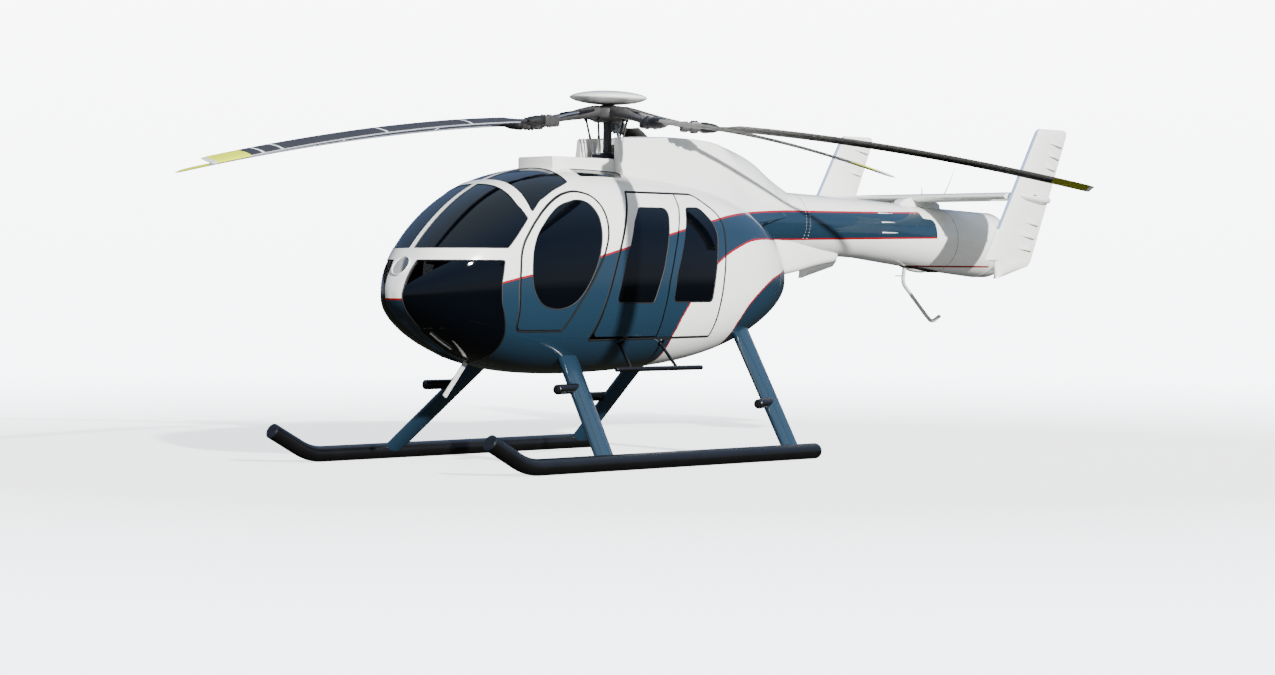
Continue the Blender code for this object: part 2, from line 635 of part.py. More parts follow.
def airfoil(chord, thick, n=7):
    """(along, up) points round a symmetric section, nose at 0."""
    xs = [(1 - math.cos(math.pi * k / n)) / 2 for k in range(n + 1)]
    half = [2.6 * thick * (0.2969 * math.sqrt(x) - 0.126 * x - 0.3516 * x * x + 0.2843 * x ** 3 - 0.0936 * x ** 4)
            * 1.92 for x in xs]
    up = [(x * chord, h) for x, h in zip(xs, half)]
    return up[:-1] + [(chord, 0.0)] + [(a, -h) for a, h in reversed(up[1:-1])]


section = airfoil(STAB_Y1 - STAB_Y0, STAB_T)
stab = loft("stabiliser", [[Vector((x, STAB_Y0 + a, STAB_Z + b)) for a, b in section] for x in (-STAB_HALF, STAB_HALF)])
saddle = prism("saddle", rounded(((3.86, 2.08, 0), (4.50, 2.04, 0), (4.46, 2.215, 0.03), (4.10, 2.225, 0.03)), 3),
               -0.055, 0.055)
boolean(stab, saddle, "UNION")
boolean(stab, loft("b", [ring_y(y, boom_at(y)[0], boom_at(y)[1] + GAP) for y in (3.3, 4.342, 4.99)]), "DIFFERENCE")
tidy(stab)
largest_piece(stab)
finish(stab, "body_white", WHITE)

FIN = ((4.470, 2.845, 0.03), (3.862, 1.912, 0.02), (3.700, 1.655, 0.03), (3.835, 1.650, 0.01), (3.855, 1.487, 0.02),
       (4.375, 1.610, 0.03), (4.955, 2.820, 0.05))
for side, sx in SIDES:
    fin = prism("fin_" + side, rounded(FIN, 3), sx * (FIN_X - FIN_T / 2), sx * (FIN_X + FIN_T / 2))
    finish(fin, "body_white", WHITE)

# tail skid: bent tube from the boom's underside
path = [(0, 4.00, 1.62), (0, 3.975, 1.470), (0, 3.995, 1.425), (0, 4.330, 1.145), (0, 4.395, 1.098), (0, 4.440, 1.098),
        (0, 4.530, 1.140)]
skid = tube("tail_skid", path, 0.016, 10)
boolean(skid, loft("b", [ring_y(y, boom_at(y)[0], boom_at(y)[1] + GAP) for y in (3.3, 4.342, 4.99)]), "DIFFERENCE")
tidy(skid)
largest_piece(skid)
finish(skid, "gear_black", BLACK)
finish(boom, "body_white", WHITE)

# wire cutter: flat bar under the nose
bar = prism("wire_cutter", ((-1.50, 0.83), (-1.60, 0.87), (-1.835, 0.560), (-1.800, 0.535)), -0.012, 0.012)
boolean(bar, pod_cut, "DIFFERENCE", keep=True)
tidy(bar)
largest_piece(bar)
finish(bar, "cutter_white", WHITE)

# ---------------------------------------------------------------- landing gear
LEG_FLAT, LEG_R = 0.48, 0.100
SKID_PATH = ((-2.523, 0.266), (-2.200, 0.098), (-2.130, 0.070), (-2.060, 0.064), (1.225, 0.064), (1.262, 0.064))
# rows: name, foot y, top (x, y, z), peg height share, peg end (x, y, z)
LEGS = (("leg_front", -1.267, (0.400, -0.890, 0.905), 0.66, (0.745, -1.330, 0.615)),
        ("leg_rear", 0.945, (0.330, 1.215, 1.180), 0.36, (1.005, 0.760, 0.455)))

for side, sx in SIDES:
    pts = [(sx * SKID_X, y, z) for y, z in SKID_PATH]
    finish(tube("skid_" + side, pts, [SKID_R] * (len(pts) - 1) + [SKID_R * 0.72], 14), "gear_black", BLACK)
    for node, foot_y, top, share, peg in LEGS:
        foot = Vector((sx * SKID_X, foot_y, SKID_R))
        head = Vector((sx * top[0], top[1], top[2]))
        leg = tube("%s_%s" % (node, side), [foot, head], [LEG_R * 0.92, LEG_R], 16, LEG_FLAT)
        start = foot.lerp(head, share)
        boolean(leg, tube("peg", [start, Vector((sx * peg[0], peg[1], peg[2]))], 0.040, 10), "UNION")
        boolean(leg, pod_cut, "DIFFERENCE", keep=True)
        boolean(leg, tube("groove", [(sx * SKID_X, -2.0, SKID_R), (sx * SKID_X, 1.3, SKID_R)],
                          (SKID_R + GAP) / math.cos(math.pi / 28), 28), "DIFFERENCE")
        tidy(leg)
        largest_piece(leg)
        finish(leg, "gear_blue", BLUE)
    # boarding step: bar on two struts
    step = tube("step_" + side, [(sx * 0.78, -0.700, 0.758), (sx * 0.78, 0.325, 0.758)], 0.020, 10)
    for y_root, y_bar in ((-0.440, -0.520), (0.050, 0.020)):
        boolean(step, tube("strut", [(sx * 0.50, y_root, 0.965), (sx * 0.78, y_bar, 0.760)], 0.014, 8), "UNION")
    boolean(step, pod_cut, "DIFFERENCE", keep=True)
    tidy(step)
    largest_piece(step)
    finish(step, "gear_black", BLACK)

bpy.data.objects.remove(pod_cut, do_unlink=True)

# ---------------------------------------------------------------- rotor
spin = bpy.data.objects.new("rotor_axis", None)
bpy.context.scene.collection.objects.link(spin)
spin.parent = datum
spin.location = (0, 0, TILT_Z)
spin.rotation_euler = (0, math.atan(ROTOR_TILT), 0)
bpy.context.view_layer.update()
H = HUB_Z - TILT_Z       # hub height above the crossing point, along the axis


def finish_rotor(ob, look_name, look):
    """Rotor pieces are made straight up about the axis, in its own frame."""
    tidy(ob)
    ob.data.materials.append(material(look_name, look))
    ob.data.shade_smooth()
    ob.data.set_sharp_from_angle(angle=math.radians(35))
    ob.parent = spin
    return ob


def turn(k):
    """Blade k's heading: blade 1 points at the nose."""
    return Matrix.Rotation(math.radians(72.0 * k), 4, "Z")


DROOP, DROOP_POWER, DROOP_START = 0.0500, 1.68, 0.50


def droop(r):
    return -0.10 * min(1.0, max(0.0, (r - 0.15) / 0.55)) - DROOP * max(0.0, r - DROOP_START) ** DROOP_POWER + 0.010


hub = turned("rotor_hub", ((0, H - 0.405), (0.036, H - 0.405), (0.036, H - 0.075), (0.13, H - 0.060), (0.19, H - 0.035),
                           (0.19, H + 0.030), (0.13, H + 0.052), (0.05, H + 0.058), (0.05, H + 0.062), (0, H + 0.062)), 20)
for k in range(BLADES):
    rings = []
    for r, w, h in ((0.155, 0.078, 0.044), (0.25, 0.082, 0.040), (0.46, 0.040, 0.026), (0.62, 0.036, 0.024)):
        z = H + droop(r)
        rings.append([Vector((a * w, -r, z + b * h)) for a, b in ((-1, -1), (1, -1), (1, 1), (-1, 1))])
    arm = loft("arm", rings)
    z = H + droop(0.70)
    rings = [[Vector((a * 0.056, -r, z + b * 0.046)) for a, b in ((-1, -1), (1, -1), (1, 1), (-1, 1))]
             for r in (0.615, 0.775)]
    boolean(arm, loft("grip", rings), "UNION")
    arm.data.transform(turn(k))
    boolean(hub, arm, "UNION")
finish_rotor(hub, "hub_grey", GREY)

cap = turned("rotor_cap", ((0, H + 0.063), (0.10, H + 0.066), (0.24, H + 0.086), (0.305, H + 0.108), (0.318, H + 0.126),
                           (0.305, H + 0.146), (0.24, H + 0.170), (0.12, H + 0.186), (0, H + 0.190)), 28)
finish_rotor(cap, "cap_white", WHITE)

# swashplate with five links up to the grips
links = turned("pitch_links", ((0, H - 0.370), (0.130, H - 0.370), (0.130, H - 0.330), (0, H - 0.330)), 20)
boolean(links, tube("bore", [(0, 0, H - 0.5), (0, 0, H - 0.2)], 0.0365 / math.cos(math.pi / 20) + GAP, 20), "DIFFERENCE")
for k in range(BLADES):
    link = tube("link", [(0.02, -0.110, H - 0.345), (0.055, -0.172, H - 0.052)], 0.009, 8)
    link.data.transform(turn(k))
    boolean(links, link, "UNION")
for k in range(BLADES):
    z = H + droop(0.2)
boolean(links, copy_of(hub, "hub_cut"), "DIFFERENCE")
tidy(links)
largest_piece(links)
finish_rotor(links, "link_metal", METAL)

section = airfoil(BLADE_CHORD, BLADE_CHORD * 0.12, 6)
for k in range(BLADES):
    rings = []
    for r, chord, twist in ((0.7755, 0.40, -0.08), (0.93, 0.45, -0.18), (1.08, 1.0, -0.25), (1.7, 1.0, -0.26), (2.3, 1.0, -0.26),
                            (2.9, 1.0, -0.26), (3.5, 1.0, -0.26), (4.06, 1.0, -0.26), (ROTOR_R, 0.90, -0.26)):
        ring = []
        for a, b in section:
            u = (0.25 * BLADE_CHORD - a) * chord
            w = b * (1.6 if chord < 0.5 else 1.0)
            ring.append(Vector((u * math.cos(twist) - w * math.sin(twist), -r,
                                H + droop(r) + u * math.sin(twist) + w * math.cos(twist))))
        rings.append(ring)
    blade = loft("blade_%d" % (k + 1), rings)
    blade.data.transform(turn(k))
    finish_rotor(blade, "blade_dark", DARK)

bpy.context.view_layer.update()
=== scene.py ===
"""Looks for the light helicopter: smooth skins, glass, paint, rotor and gear
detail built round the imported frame. Metres, nose toward -Y, port side +X.

Most tables are in mast coordinates (rotor mast at x = 0, y = 0), as in the
CAD source; each piece is then put DATUM_Y along Y.
"""
import json
import math
import bpy
import bmesh
import numpy as np
from mathutils import Matrix, Vector

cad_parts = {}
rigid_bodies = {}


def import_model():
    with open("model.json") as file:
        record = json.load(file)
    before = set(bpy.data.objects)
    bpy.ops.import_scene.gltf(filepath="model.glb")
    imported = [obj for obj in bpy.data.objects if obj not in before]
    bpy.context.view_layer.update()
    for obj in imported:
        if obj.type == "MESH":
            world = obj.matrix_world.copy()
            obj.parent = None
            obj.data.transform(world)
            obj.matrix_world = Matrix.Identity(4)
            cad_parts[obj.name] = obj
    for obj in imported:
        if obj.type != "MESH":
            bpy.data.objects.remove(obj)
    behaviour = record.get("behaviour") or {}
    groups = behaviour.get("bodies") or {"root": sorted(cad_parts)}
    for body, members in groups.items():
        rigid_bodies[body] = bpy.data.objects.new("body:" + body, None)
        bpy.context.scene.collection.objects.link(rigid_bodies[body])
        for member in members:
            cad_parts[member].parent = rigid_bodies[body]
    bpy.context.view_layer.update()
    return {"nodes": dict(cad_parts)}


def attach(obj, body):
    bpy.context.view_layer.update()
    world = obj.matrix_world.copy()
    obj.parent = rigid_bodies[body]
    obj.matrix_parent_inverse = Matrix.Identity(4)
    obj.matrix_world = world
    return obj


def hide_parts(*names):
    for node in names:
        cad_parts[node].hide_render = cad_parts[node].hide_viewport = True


for ob in list(bpy.data.objects):
    bpy.data.objects.remove(ob, do_unlink=True)

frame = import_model()

DATUM_Y = -0.618
SHELL = 0.022
DOOR_GAP = 0.012
SPLIT_GAP = 0.016
GLASS_T, GLASS_SINK, GLASS_GAP = 0.006, 0.004, 0.0015
POD_NOSE, POD_TAIL = (-2.370, 1.334), (2.083, 1.475)
POD_TOP = (1.452, 3.020, 1.620, 1.553, 2.241, 1.585)
POD_BELLY = (1.045, 1.918, 1.121, 1.215, 1.770, 0.940)
POD_WIDTH = (1.657, 1.723, 1.213, 1.334, 1.538, 1.687)
POD_WAIST = (0.232, 0.079, 0.022)
ROUND_TOP, ROUND_BELLY = 2.60, 2.42
SKID_R, SKID_X = 0.064, 1.221
ROTOR_R, HUB_Z, ROTOR_TILT, TILT_Z = 4.165, 2.830, 0.025, 1.81
CHORD = 0.175
FIN_X, FIN_T = 1.125, 0.055
SIDES = (("port", 1), ("stbd", -1))
SOFT, BACK, MIRROR, SUN = 0.80, 9.0, 1.0, 11.0
FLOOR = (0.80, 0.82, 0.85, 1)
rng = np.random.default_rng(7)


# ------------------------------------------------------------ camera
cam_data = bpy.data.cameras.new("camera")
cam = bpy.data.objects.new("camera", cam_data)
bpy.context.scene.collection.objects.link(cam)
bpy.context.scene.camera = cam
cam_data.sensor_width = 36.0
cam_data.lens = 3067.008 * 36.0 / 1275.0
cam_data.clip_end = 500
LOOK = Vector((-0.677905, 0.734913, -0.018640)).normalized()
RIGHT = Vector((0.734985, 0.678072, 0.003949)).normalized()
UP = RIGHT.cross(LOOK).normalized()
EYE = Vector((17.25582, -18.31143 + DATUM_Y, 1.46164))
m = Matrix.Identity(4)
for i, axis in enumerate((RIGHT, UP, -LOOK)):
    for r in range(3):
        m[r][i] = axis[r]
m.translation = EYE
cam.matrix_world = m


# ------------------------------------------------------------ materials
class Look:
    """A material with a Principled shader and short ways to add nodes."""

    def __init__(self, name, **values):
        self.mat = bpy.data.materials.new(name)
        self.mat.use_nodes = True
        self.t = self.mat.node_tree
        self.b = self.t.nodes["Principled BSDF"]
        self.coord = None
        for key, v in values.items():
            self.put(self.b.inputs[key.replace("_", " ")], v)

    def put(self, sock, v):
        if isinstance(v, bpy.types.NodeSocket):
            self.t.links.new(v, sock)
        else:
            sock.default_value = v

    def node(self, kind, **props):
        n = self.t.nodes.new("ShaderNode" + kind)
        for k, v in props.items():
            setattr(n, k, v)
        return n

    def math(self, op, a, b=None, c=None, clamp=False):
        n = self.node("Math", operation=op)
        n.use_clamp = clamp
        for i, v in enumerate((a, b, c)):
            if v is not None:
                self.put(n.inputs[i], v)
        return n.outputs[0]

    def mix(self, fac, a, b, blend="MIX"):
        n = self.node("Mix", data_type="RGBA", blend_type=blend)
        self.put(n.inputs[0], fac)
        self.put(n.inputs[6], a)
        self.put(n.inputs[7], b)
        return n.outputs[2]

    def xyz(self):
        """Object coordinates, moved so that the mast is at x = 0, y = 0."""
        if self.coord is None:
            tc = self.node("TexCoord")
            sep = self.node("SeparateXYZ")
            self.put(sep.inputs[0], tc.outputs["Object"])
            self.vec = tc.outputs["Object"]
            self.coord = tuple(sep.outputs)
        return self.coord

    def curve(self, x, pts, lo, hi):
        """Piecewise linear curve through pts, read between lo and hi."""
        vs = [p[1] for p in pts]
        vlo, vhi = min(vs), max(vs)
        span = max(vhi - vlo, 1e-6)
        t = self.math("DIVIDE", self.math("SUBTRACT", x, lo), hi - lo, clamp=True)
        n = self.node("FloatCurve")
        c = n.mapping.curves[0]
        n.mapping.use_clip = False
        rows = sorted(((p[0] - lo) / (hi - lo), (p[1] - vlo) / span) for p in pts)
        rows = [(min(1, max(0, a)), b) for a, b in rows]
        c.points[0].location = rows[0]
        c.points[1].location = rows[-1]
        for r in rows[1:-1]:
            c.points.new(*r)
        for p in c.points:
            p.handle_type = "VECTOR"
        n.mapping.update()
        self.put(n.inputs[1], t)
        return self.math("MULTIPLY_ADD", n.outputs[0], span, vlo)

    def noise(self, scale, detail=3.0, rough=0.5, stretch=None):
        self.xyz()
        v = self.vec
        if stretch is not None:
            mp = self.node("Mapping")
            mp.inputs["Scale"].default_value = stretch
            self.put(mp.inputs["Vector"], v)
            v = mp.outputs[0]
        n = self.node("TexNoise")
        n.inputs["Scale"].default_value = scale
        n.inputs["Detail"].default_value = detail
        n.inputs["Roughness"].default_value = rough
        self.put(n.inputs["Vector"], v)
        return n.outputs[0]

    def vary(self, colour, scale, amount, detail=3.0, dark=0.6, stretch=None):
        """Colour with soft blotches toward a darker shade of itself."""
        n = self.noise(scale, detail, stretch=stretch)
        f = self.math("MULTIPLY", self.math("SUBTRACT", n, 0.42, clamp=True), amount * 4.0, clamp=True)
        if isinstance(colour, bpy.types.NodeSocket):
            shade = self.mix(1.0, colour, (dark, dark, dark, 1), "MULTIPLY")
        else:
            shade = (colour[0] * dark, colour[1] * dark, colour[2] * dark, 1)
        return self.mix(f, colour, shade)

    def bump(self, height, strength, distance):
        n = self.node("Bump")
        n.inputs["Strength"].default_value = strength
        n.inputs["Distance"].default_value = distance
        self.put(n.inputs["Height"], height)
        self.put(self.b.inputs["Normal"], n.outputs[0])

    def rough(self, base, spread, scale=4.0):
        n = self.noise(scale, 4.0)
        self.put(self.b.inputs["Roughness"],
                 self.math("MULTIPLY_ADD", n, spread, base - spread / 2))


WHITE = (0.800, 0.815, 0.795, 1)
BLUE = (0.0085, 0.0235, 0.042, 1)
RED = (0.26, 0.0012, 0.003, 1)
RUBBER = (0.0022, 0.0022, 0.0025, 1)

# livery lines, y and z from the mast
UPPER = ((-2.50, 1.311), (-2.16, 1.311), (-1.743, 1.438), (-1.591, 1.476), (-1.481, 1.498), (-0.803, 1.642),
         (-0.578, 1.697), (-0.448, 1.725), (0.031, 1.827), (0.264, 1.877), (0.637, 1.950), (0.891, 1.994),
         (1.10, 2.018), (1.30, 2.030), (1.60, 2.048), (1.986, 2.064), (3.392, 2.077), (4.2, 2.090))
LOWER = ((0.635, 1.606), (0.740, 1.664), (0.850, 1.709), (0.953, 1.744), (1.060, 1.775), (1.160, 1.797), (1.300, 1.811),
         (1.471, 1.816), (1.616, 1.812), (4.117, 1.859), (4.2, 1.861))
FRONT_EDGE = ((0.740, 0.210), (0.771, 0.192), (0.823, 0.190), (0.903, 0.165), (1.017, 0.154), (1.157, 0.201),
              (1.283, 0.281), (1.45, 0.452), (1.606, 0.635))        # z, y
TAIL_LOW = ((0.80, 1.000), (0.992, 0.980), (1.108, 1.002), (1.185, 1.047), (1.251, 1.098))     # z, y
TAIL_TOP = ((1.098, 1.251), (1.190, 1.322), (1.288, 1.380), (1.400, 1.437), (1.513, 1.482), (1.797, 1.548), (2.10, 1.60))
BAND_END = ((1.80, 4.117), (1.990, 4.117), (2.010, 4.110), (2.026, 4.080), (2.030, 4.020), (2.034, 3.965), (2.10, 3.950))
HALF_LINE = 0.0075


def widths(pts, half):
    """Half height of a stripe at each point, so that it keeps its width on a slope."""
    out = []
    for i, p in enumerate(pts):
        a, b = pts[max(0, i - 1)], pts[min(len(pts) - 1, i + 1)]
        s = (b[1] - a[1]) / max(1e-6, b[0] - a[0])
        out.append((p[0], half * math.sqrt(1 + s * s)))
    return out


def livery(k):
    """White over blue with thin red lines, from y and z alone."""
    x, y, z = k.xyz()

    def line(u, v, pts, lo, hi):
        f = k.curve(u, pts, lo, hi)
        d = k.math("SUBTRACT", v, f)
        h = k.curve(u, widths(pts, HALF_LINE), lo, hi)
        return k.math("LESS_THAN", k.math("ABSOLUTE", d), h), k.math("LESS_THAN", d, 0.0)

    on_up, under_up = line(y, z, UPPER, -2.5, 4.2)
    on_low, under_low = line(y, z, LOWER, 0.6, 4.2)
    on_fr, _ = line(z, y, FRONT_EDGE, 0.72, 1.61)
    fr = k.curve(z, FRONT_EDGE, 0.72, 1.61)
    behind_fr = k.math("GREATER_THAN", y, fr)
    on_tl, _ = line(z, y, TAIL_LOW, 0.78, 1.255)
    tl = k.curve(z, TAIL_LOW, 0.78, 1.255)
    behind_tl = k.math("GREATER_THAN", y, tl)
    on_tt, under_tt = line(y, z, TAIL_TOP, 1.09, 2.1)
    z_hi = k.math("GREATER_THAN", z, 1.606)
    y_in = k.math("GREATER_THAN", y, 0.10)
    # white wedge under the lower line
    a = k.math("MULTIPLY", z_hi, k.math("MULTIPLY", under_low, k.math("GREATER_THAN", y, 0.635)))
    b = k.math("MULTIPLY", k.math("SUBTRACT", 1.0, z_hi), behind_fr)
    wedge = k.math("MULTIPLY", k.math("MAXIMUM", a, b), y_in)
    # blue tail under the diagonal
    low_z = k.math("LESS_THAN", z, 1.251)
    c = k.math("MULTIPLY", low_z, behind_tl)
    d = k.math("MULTIPLY", k.math("SUBTRACT", 1.0, low_z), k.math("MULTIPLY", under_tt, k.math("GREATER_THAN", y, 1.098)))
    tail = k.math("MAXIMUM", c, d)
    band = k.math("LESS_THAN", y, k.curve(z, BAND_END, 1.78, 2.12))
    blue = k.math("MULTIPLY", under_up, k.math("MAXIMUM", k.math("SUBTRACT", 1.0, wedge), tail))
    blue = k.math("MULTIPLY", blue, band)
    red_up = k.math("MULTIPLY", on_up, k.math("LESS_THAN", y, 3.955))
    red_low = k.math("MULTIPLY", on_low, k.math("MULTIPLY", k.math("GREATER_THAN", y, 0.630), k.math("LESS_THAN", y, 4.117)))
    red_fr = k.math("MULTIPLY", on_fr, k.math("LESS_THAN", z, 1.610))
    red_tl = k.math("MULTIPLY", on_tl, k.math("LESS_THAN", z, 1.252))
    red_tt = k.math("MULTIPLY", on_tt, k.math("MULTIPLY", k.math("GREATER_THAN", y, 1.094), k.math("LESS_THAN", z, 1.62)))
    red = k.math("MAXIMUM", red_up, k.math("MAXIMUM", red_low, k.math("MAXIMUM", red_fr, k.math("MAXIMUM", red_tl, red_tt))))
    white = k.vary(WHITE, 1.3, 0.10, 4.0, 0.93)
    navy = k.vary(BLUE, 2.0, 0.16, 5.0, 0.82)
    col = k.mix(blue, white, navy)
    return k.mix(red, col, RED)


def gloss(k, rough=0.16, coat=0.6):
    """Sprayed enamel: clear coat, faint ripple, slight unevenness of sheen."""
    k.rough(rough, 0.05, 2.2)
    k.b.inputs["Coat Weight"].default_value = coat
    k.b.inputs["Coat Roughness"].default_value = 0.04
    k.bump(k.noise(260, 2.0), 0.05, 0.0004)


paint = Look("paint_livery")
paint.put(paint.b.inputs["Base Color"], livery(paint))
gloss(paint)

white = Look("paint_white")
white.put(white.b.inputs["Base Color"], white.vary(WHITE, 1.6, 0.12, 4.0, 0.92))
gloss(white)

blue = Look("paint_blue")
blue.put(blue.b.inputs["Base Color"], blue.vary(BLUE, 3.0, 0.18, 5.0, 0.80))
gloss(blue, 0.22, 0.5)

black = Look("paint_black")
black.put(black.b.inputs["Base Color"], black.vary((0.0024, 0.0024, 0.0028, 1), 9.0, 0.3, 5.0, 2.2))
gloss(black, 0.30, 0.15)

rubber = Look("seal_rubber", Roughness=0.62)
rubber.put(rubber.b.inputs["Base Color"], rubber.vary(RUBBER, 20.0, 0.3, 4.0, 1.8))
rubber.bump(rubber.noise(420, 2.0), 0.15, 0.0006)

glass = Look("tinted_glass", Roughness=0.02, IOR=1.45)
glass.put(glass.b.inputs["Base Color"], glass.vary((0.0012, 0.0018, 0.0032, 1), 1.4, 0.3, 2.0, 0.6))
glass.b.inputs["Coat Weight"].default_value = 0.15
glass.b.inputs["Coat Roughness"].default_value = 0.01
glass.put(glass.b.inputs["Alpha"], glass.math("MULTIPLY_ADD", glass.noise(0.8, 1.0), 0.02, 0.93))

steel = Look("satin_steel", Metallic=0.9)
steel.put(steel.b.inputs["Base Color"], steel.vary((0.42, 0.42, 0.43, 1), 14.0, 0.3, 5.0, 0.6))
steel.rough(0.34, 0.16, 30.0)
steel.bump(steel.noise(90, 4.0, stretch=(1, 1, 12)), 0.10, 0.0006)

chrome = Look("chrome_rod", Metallic=1.0)
chrome.put(chrome.b.inputs["Base Color"], chrome.vary((0.72, 0.72, 0.74, 1), 30.0, 0.2, 4.0, 0.7))
chrome.rough(0.14, 0.08, 40.0)

hub_grey = Look("hub_cast_grey", Metallic=0.35)
hub_grey.put(hub_grey.b.inputs["Base Color"], hub_grey.vary((0.062, 0.060, 0.062, 1), 11.0, 0.4, 6.0, 0.6))
hub_grey.rough(0.42, 0.18, 22.0)
hub_grey.bump(hub_grey.noise(170, 4.0), 0.18, 0.0008)

dark_metal = Look("dark_metal", Metallic=0.5)
dark_metal.put(dark_metal.b.inputs["Base Color"], dark_metal.vary((0.010, 0.010, 0.011, 1), 16.0, 0.4, 5.0, 1.9))
dark_metal.rough(0.38, 0.2, 20.0)

inside = Look("cabin_trim", Roughness=0.75)
inside.put(inside.b.inputs["Base Color"], inside.vary((0.026, 0.027, 0.030, 1), 8.0, 0.3, 6.0, 0.6))
inside.bump(inside.noise(600, 2.0), 0.3, 0.0008)

carpet = Look("carpet", Roughness=0.95)
carpet.put(carpet.b.inputs["Base Color"], carpet.vary((0.014, 0.0145, 0.016, 1), 60.0, 0.6, 6.0, 0.4))
carpet.b.inputs["Sheen Weight"].default_value = 0.4
carpet.bump(carpet.noise(900, 3.0), 0.8, 0.003)

leather = Look("seat_leather")
leather.put(leather.b.inputs["Base Color"], leather.vary((0.020, 0.0195, 0.020, 1), 6.0, 0.4, 5.0, 0.6))
leather.rough(0.55, 0.15, 12.0)
vor = leather.node("TexVoronoi")
vor.inputs["Scale"].default_value = 340.0
leather.xyz()
leather.put(vor.inputs["Vector"], leather.vec)
leather.bump(vor.outputs[0], 0.25, 0.0015)

webbing = Look("belt_webbing", Roughness=0.85)
webbing.xyz()
wave = webbing.node("TexWave")
wave.inputs["Scale"].default_value = 90.0
webbing.put(wave.inputs["Vector"], webbing.vec)
webbing.put(webbing.b.inputs["Base Color"], webbing.mix(wave.outputs[1], (0.020, 0.021, 0.024, 1), (0.045, 0.046, 0.05, 1)))
webbing.bump(wave.outputs[1], 0.4, 0.001)

panel = Look("instrument_face", Roughness=0.5)
panel.put(panel.b.inputs["Base Color"], panel.vary((0.006, 0.006, 0.0066, 1), 30.0, 0.4, 5.0, 1.8))
panel.bump(panel.noise(500, 2.0), 0.2, 0.0006)

# painted shade: the dark inside of the engine inlet duct
duct_shade_look = Look("duct_painted_shade", Roughness=0.8)
duct_shade_look.put(duct_shade_look.b.inputs["Base Color"], duct_shade_look.vary((0.006, 0.006, 0.007, 1), 10.0, 0.4, 4.0, 2.0))

engine_mat = Look("engine_casting", Metallic=0.7)
engine_mat.put(engine_mat.b.inputs["Base Color"], engine_mat.vary((0.20, 0.20, 0.19, 1), 9.0, 0.5, 6.0, 0.5))
engine_mat.rough(0.48, 0.2, 14.0)
engine_mat.bump(engine_mat.noise(120, 4.0), 0.3, 0.001)

rod_grey = Look("rod_grey")
rod_grey.put(rod_grey.b.inputs["Base Color"], rod_grey.vary((0.50, 0.50, 0.48, 1), 20.0, 0.3, 5.0, 0.7))
rod_grey.rough(0.34, 0.14, 24.0)

lamp_glass = Look("lamp_lens", Roughness=0.05, IOR=1.5)
lamp_x, _, lamp_z = lamp_glass.xyz()
# painted shade: the lens goes dark over its side toward +x, a little more higher up
shade = lamp_glass.math("ADD", lamp_x, lamp_glass.math("MULTIPLY", lamp_glass.math("SUBTRACT", lamp_z, 1.565), 0.35))
shade = lamp_glass.math("DIVIDE", lamp_glass.math("SUBTRACT", shade, 0.004), 0.030, clamp=True)
lamp_pale = lamp_glass.vary((0.46, 0.47, 0.45, 1), 9.0, 0.5, 2.0, 0.55)
lamp_glass.put(lamp_glass.b.inputs["Base Color"], lamp_glass.mix(shade, lamp_pale, (0.050, 0.050, 0.046, 1)))
lamp_glass.b.inputs["Coat Weight"].default_value = 1.0
lamp_glass.b.inputs["Metallic"].default_value = 0.25


# ------------------------------------------------------------ mesh helpers
def new_object(name, verts, faces, mat=None):
    mesh = bpy.data.meshes.new(name)
    mesh.from_pydata([tuple(map(float, v)) for v in verts], [], [tuple(int(i) for i in f) for f in faces])
    mesh.update()
    ob = bpy.data.objects.new(name, mesh)
    bpy.context.scene.collection.objects.link(ob)
    if mat is not None:
        mesh.materials.append(mat.mat)
    return ob


def fix_normals(ob):
    bm = bmesh.new()
    bm.from_mesh(ob.data)
    bmesh.ops.recalc_face_normals(bm, faces=bm.faces)
    bm.to_mesh(ob.data)
    bm.free()
    return ob


def apply_modifiers(ob):
    deps = bpy.context.evaluated_depsgraph_get()
    mesh = bpy.data.meshes.new_from_object(ob.evaluated_get(deps))
    ob.modifiers.clear()
    old = ob.data
    ob.data = mesh
    bpy.data.meshes.remove(old)
    mesh.name = ob.name


def boolean(ob, cutter, operation, keep=False):
    mod = ob.modifiers.new("cut", "BOOLEAN")
    mod.object = cutter
    mod.operation = operation
    mod.solver = "EXACT"
    apply_modifiers(ob)
    if not keep:
        bpy.data.objects.remove(cutter, do_unlink=True)
    return ob


def join(name, obs):
    """One mesh from several, in their shared coordinates."""
    bm = bmesh.new()
    mats = []
    for ob in obs:
        start = len(bm.faces)
        bm.from_mesh(ob.data)
        bm.faces.ensure_lookup_table()
        remap = {}
        for i, mt in enumerate(ob.data.materials):
            if mt not in mats:
                mats.append(mt)
            remap[i] = mats.index(mt)
        for f in bm.faces[start:]:
            f.material_index = remap.get(f.material_index, 0)
    mesh = bpy.data.meshes.new(name)
    bm.to_mesh(mesh)
    bm.free()
    for mt in mats:
        mesh.materials.append(mt)
    new = bpy.data.objects.new(name, mesh)
    bpy.context.scene.collection.objects.link(new)
    for ob in obs:
        bpy.data.objects.remove(ob, do_unlink=True)
    return new


def copy_of(ob, name):
    new = bpy.data.objects.new(name, ob.data.copy())
    bpy.context.scene.collection.objects.link(new)
    return new


def mirrored(ob, name):
    new = copy_of(ob, name)
    new.data.transform(Matrix.Diagonal((-1, 1, 1, 1)))
    new.data.flip_normals()
    return new


def smooth(ob, angle=35):
    ob.data.shade_smooth()
    ob.data.set_sharp_from_angle(angle=math.radians(angle))
    return ob


def bevel(ob, width, segments=3, angle=30, shade=35):
    mod = ob.modifiers.new("bevel", "BEVEL")
    mod.width = width
    mod.segments = segments
    mod.limit_method = "ANGLE"
    mod.angle_limit = math.radians(angle)
    mod.harden_normals = False
    apply_modifiers(ob)
    return smooth(ob, shade)


def place(ob, body, stands_for=()):
    """Put a piece made in mast coordinates in the frame, on its body."""
    ob.location = (0, DATUM_Y, 0)
    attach(ob, body)
    if stands_for:
        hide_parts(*stands_for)
    return ob


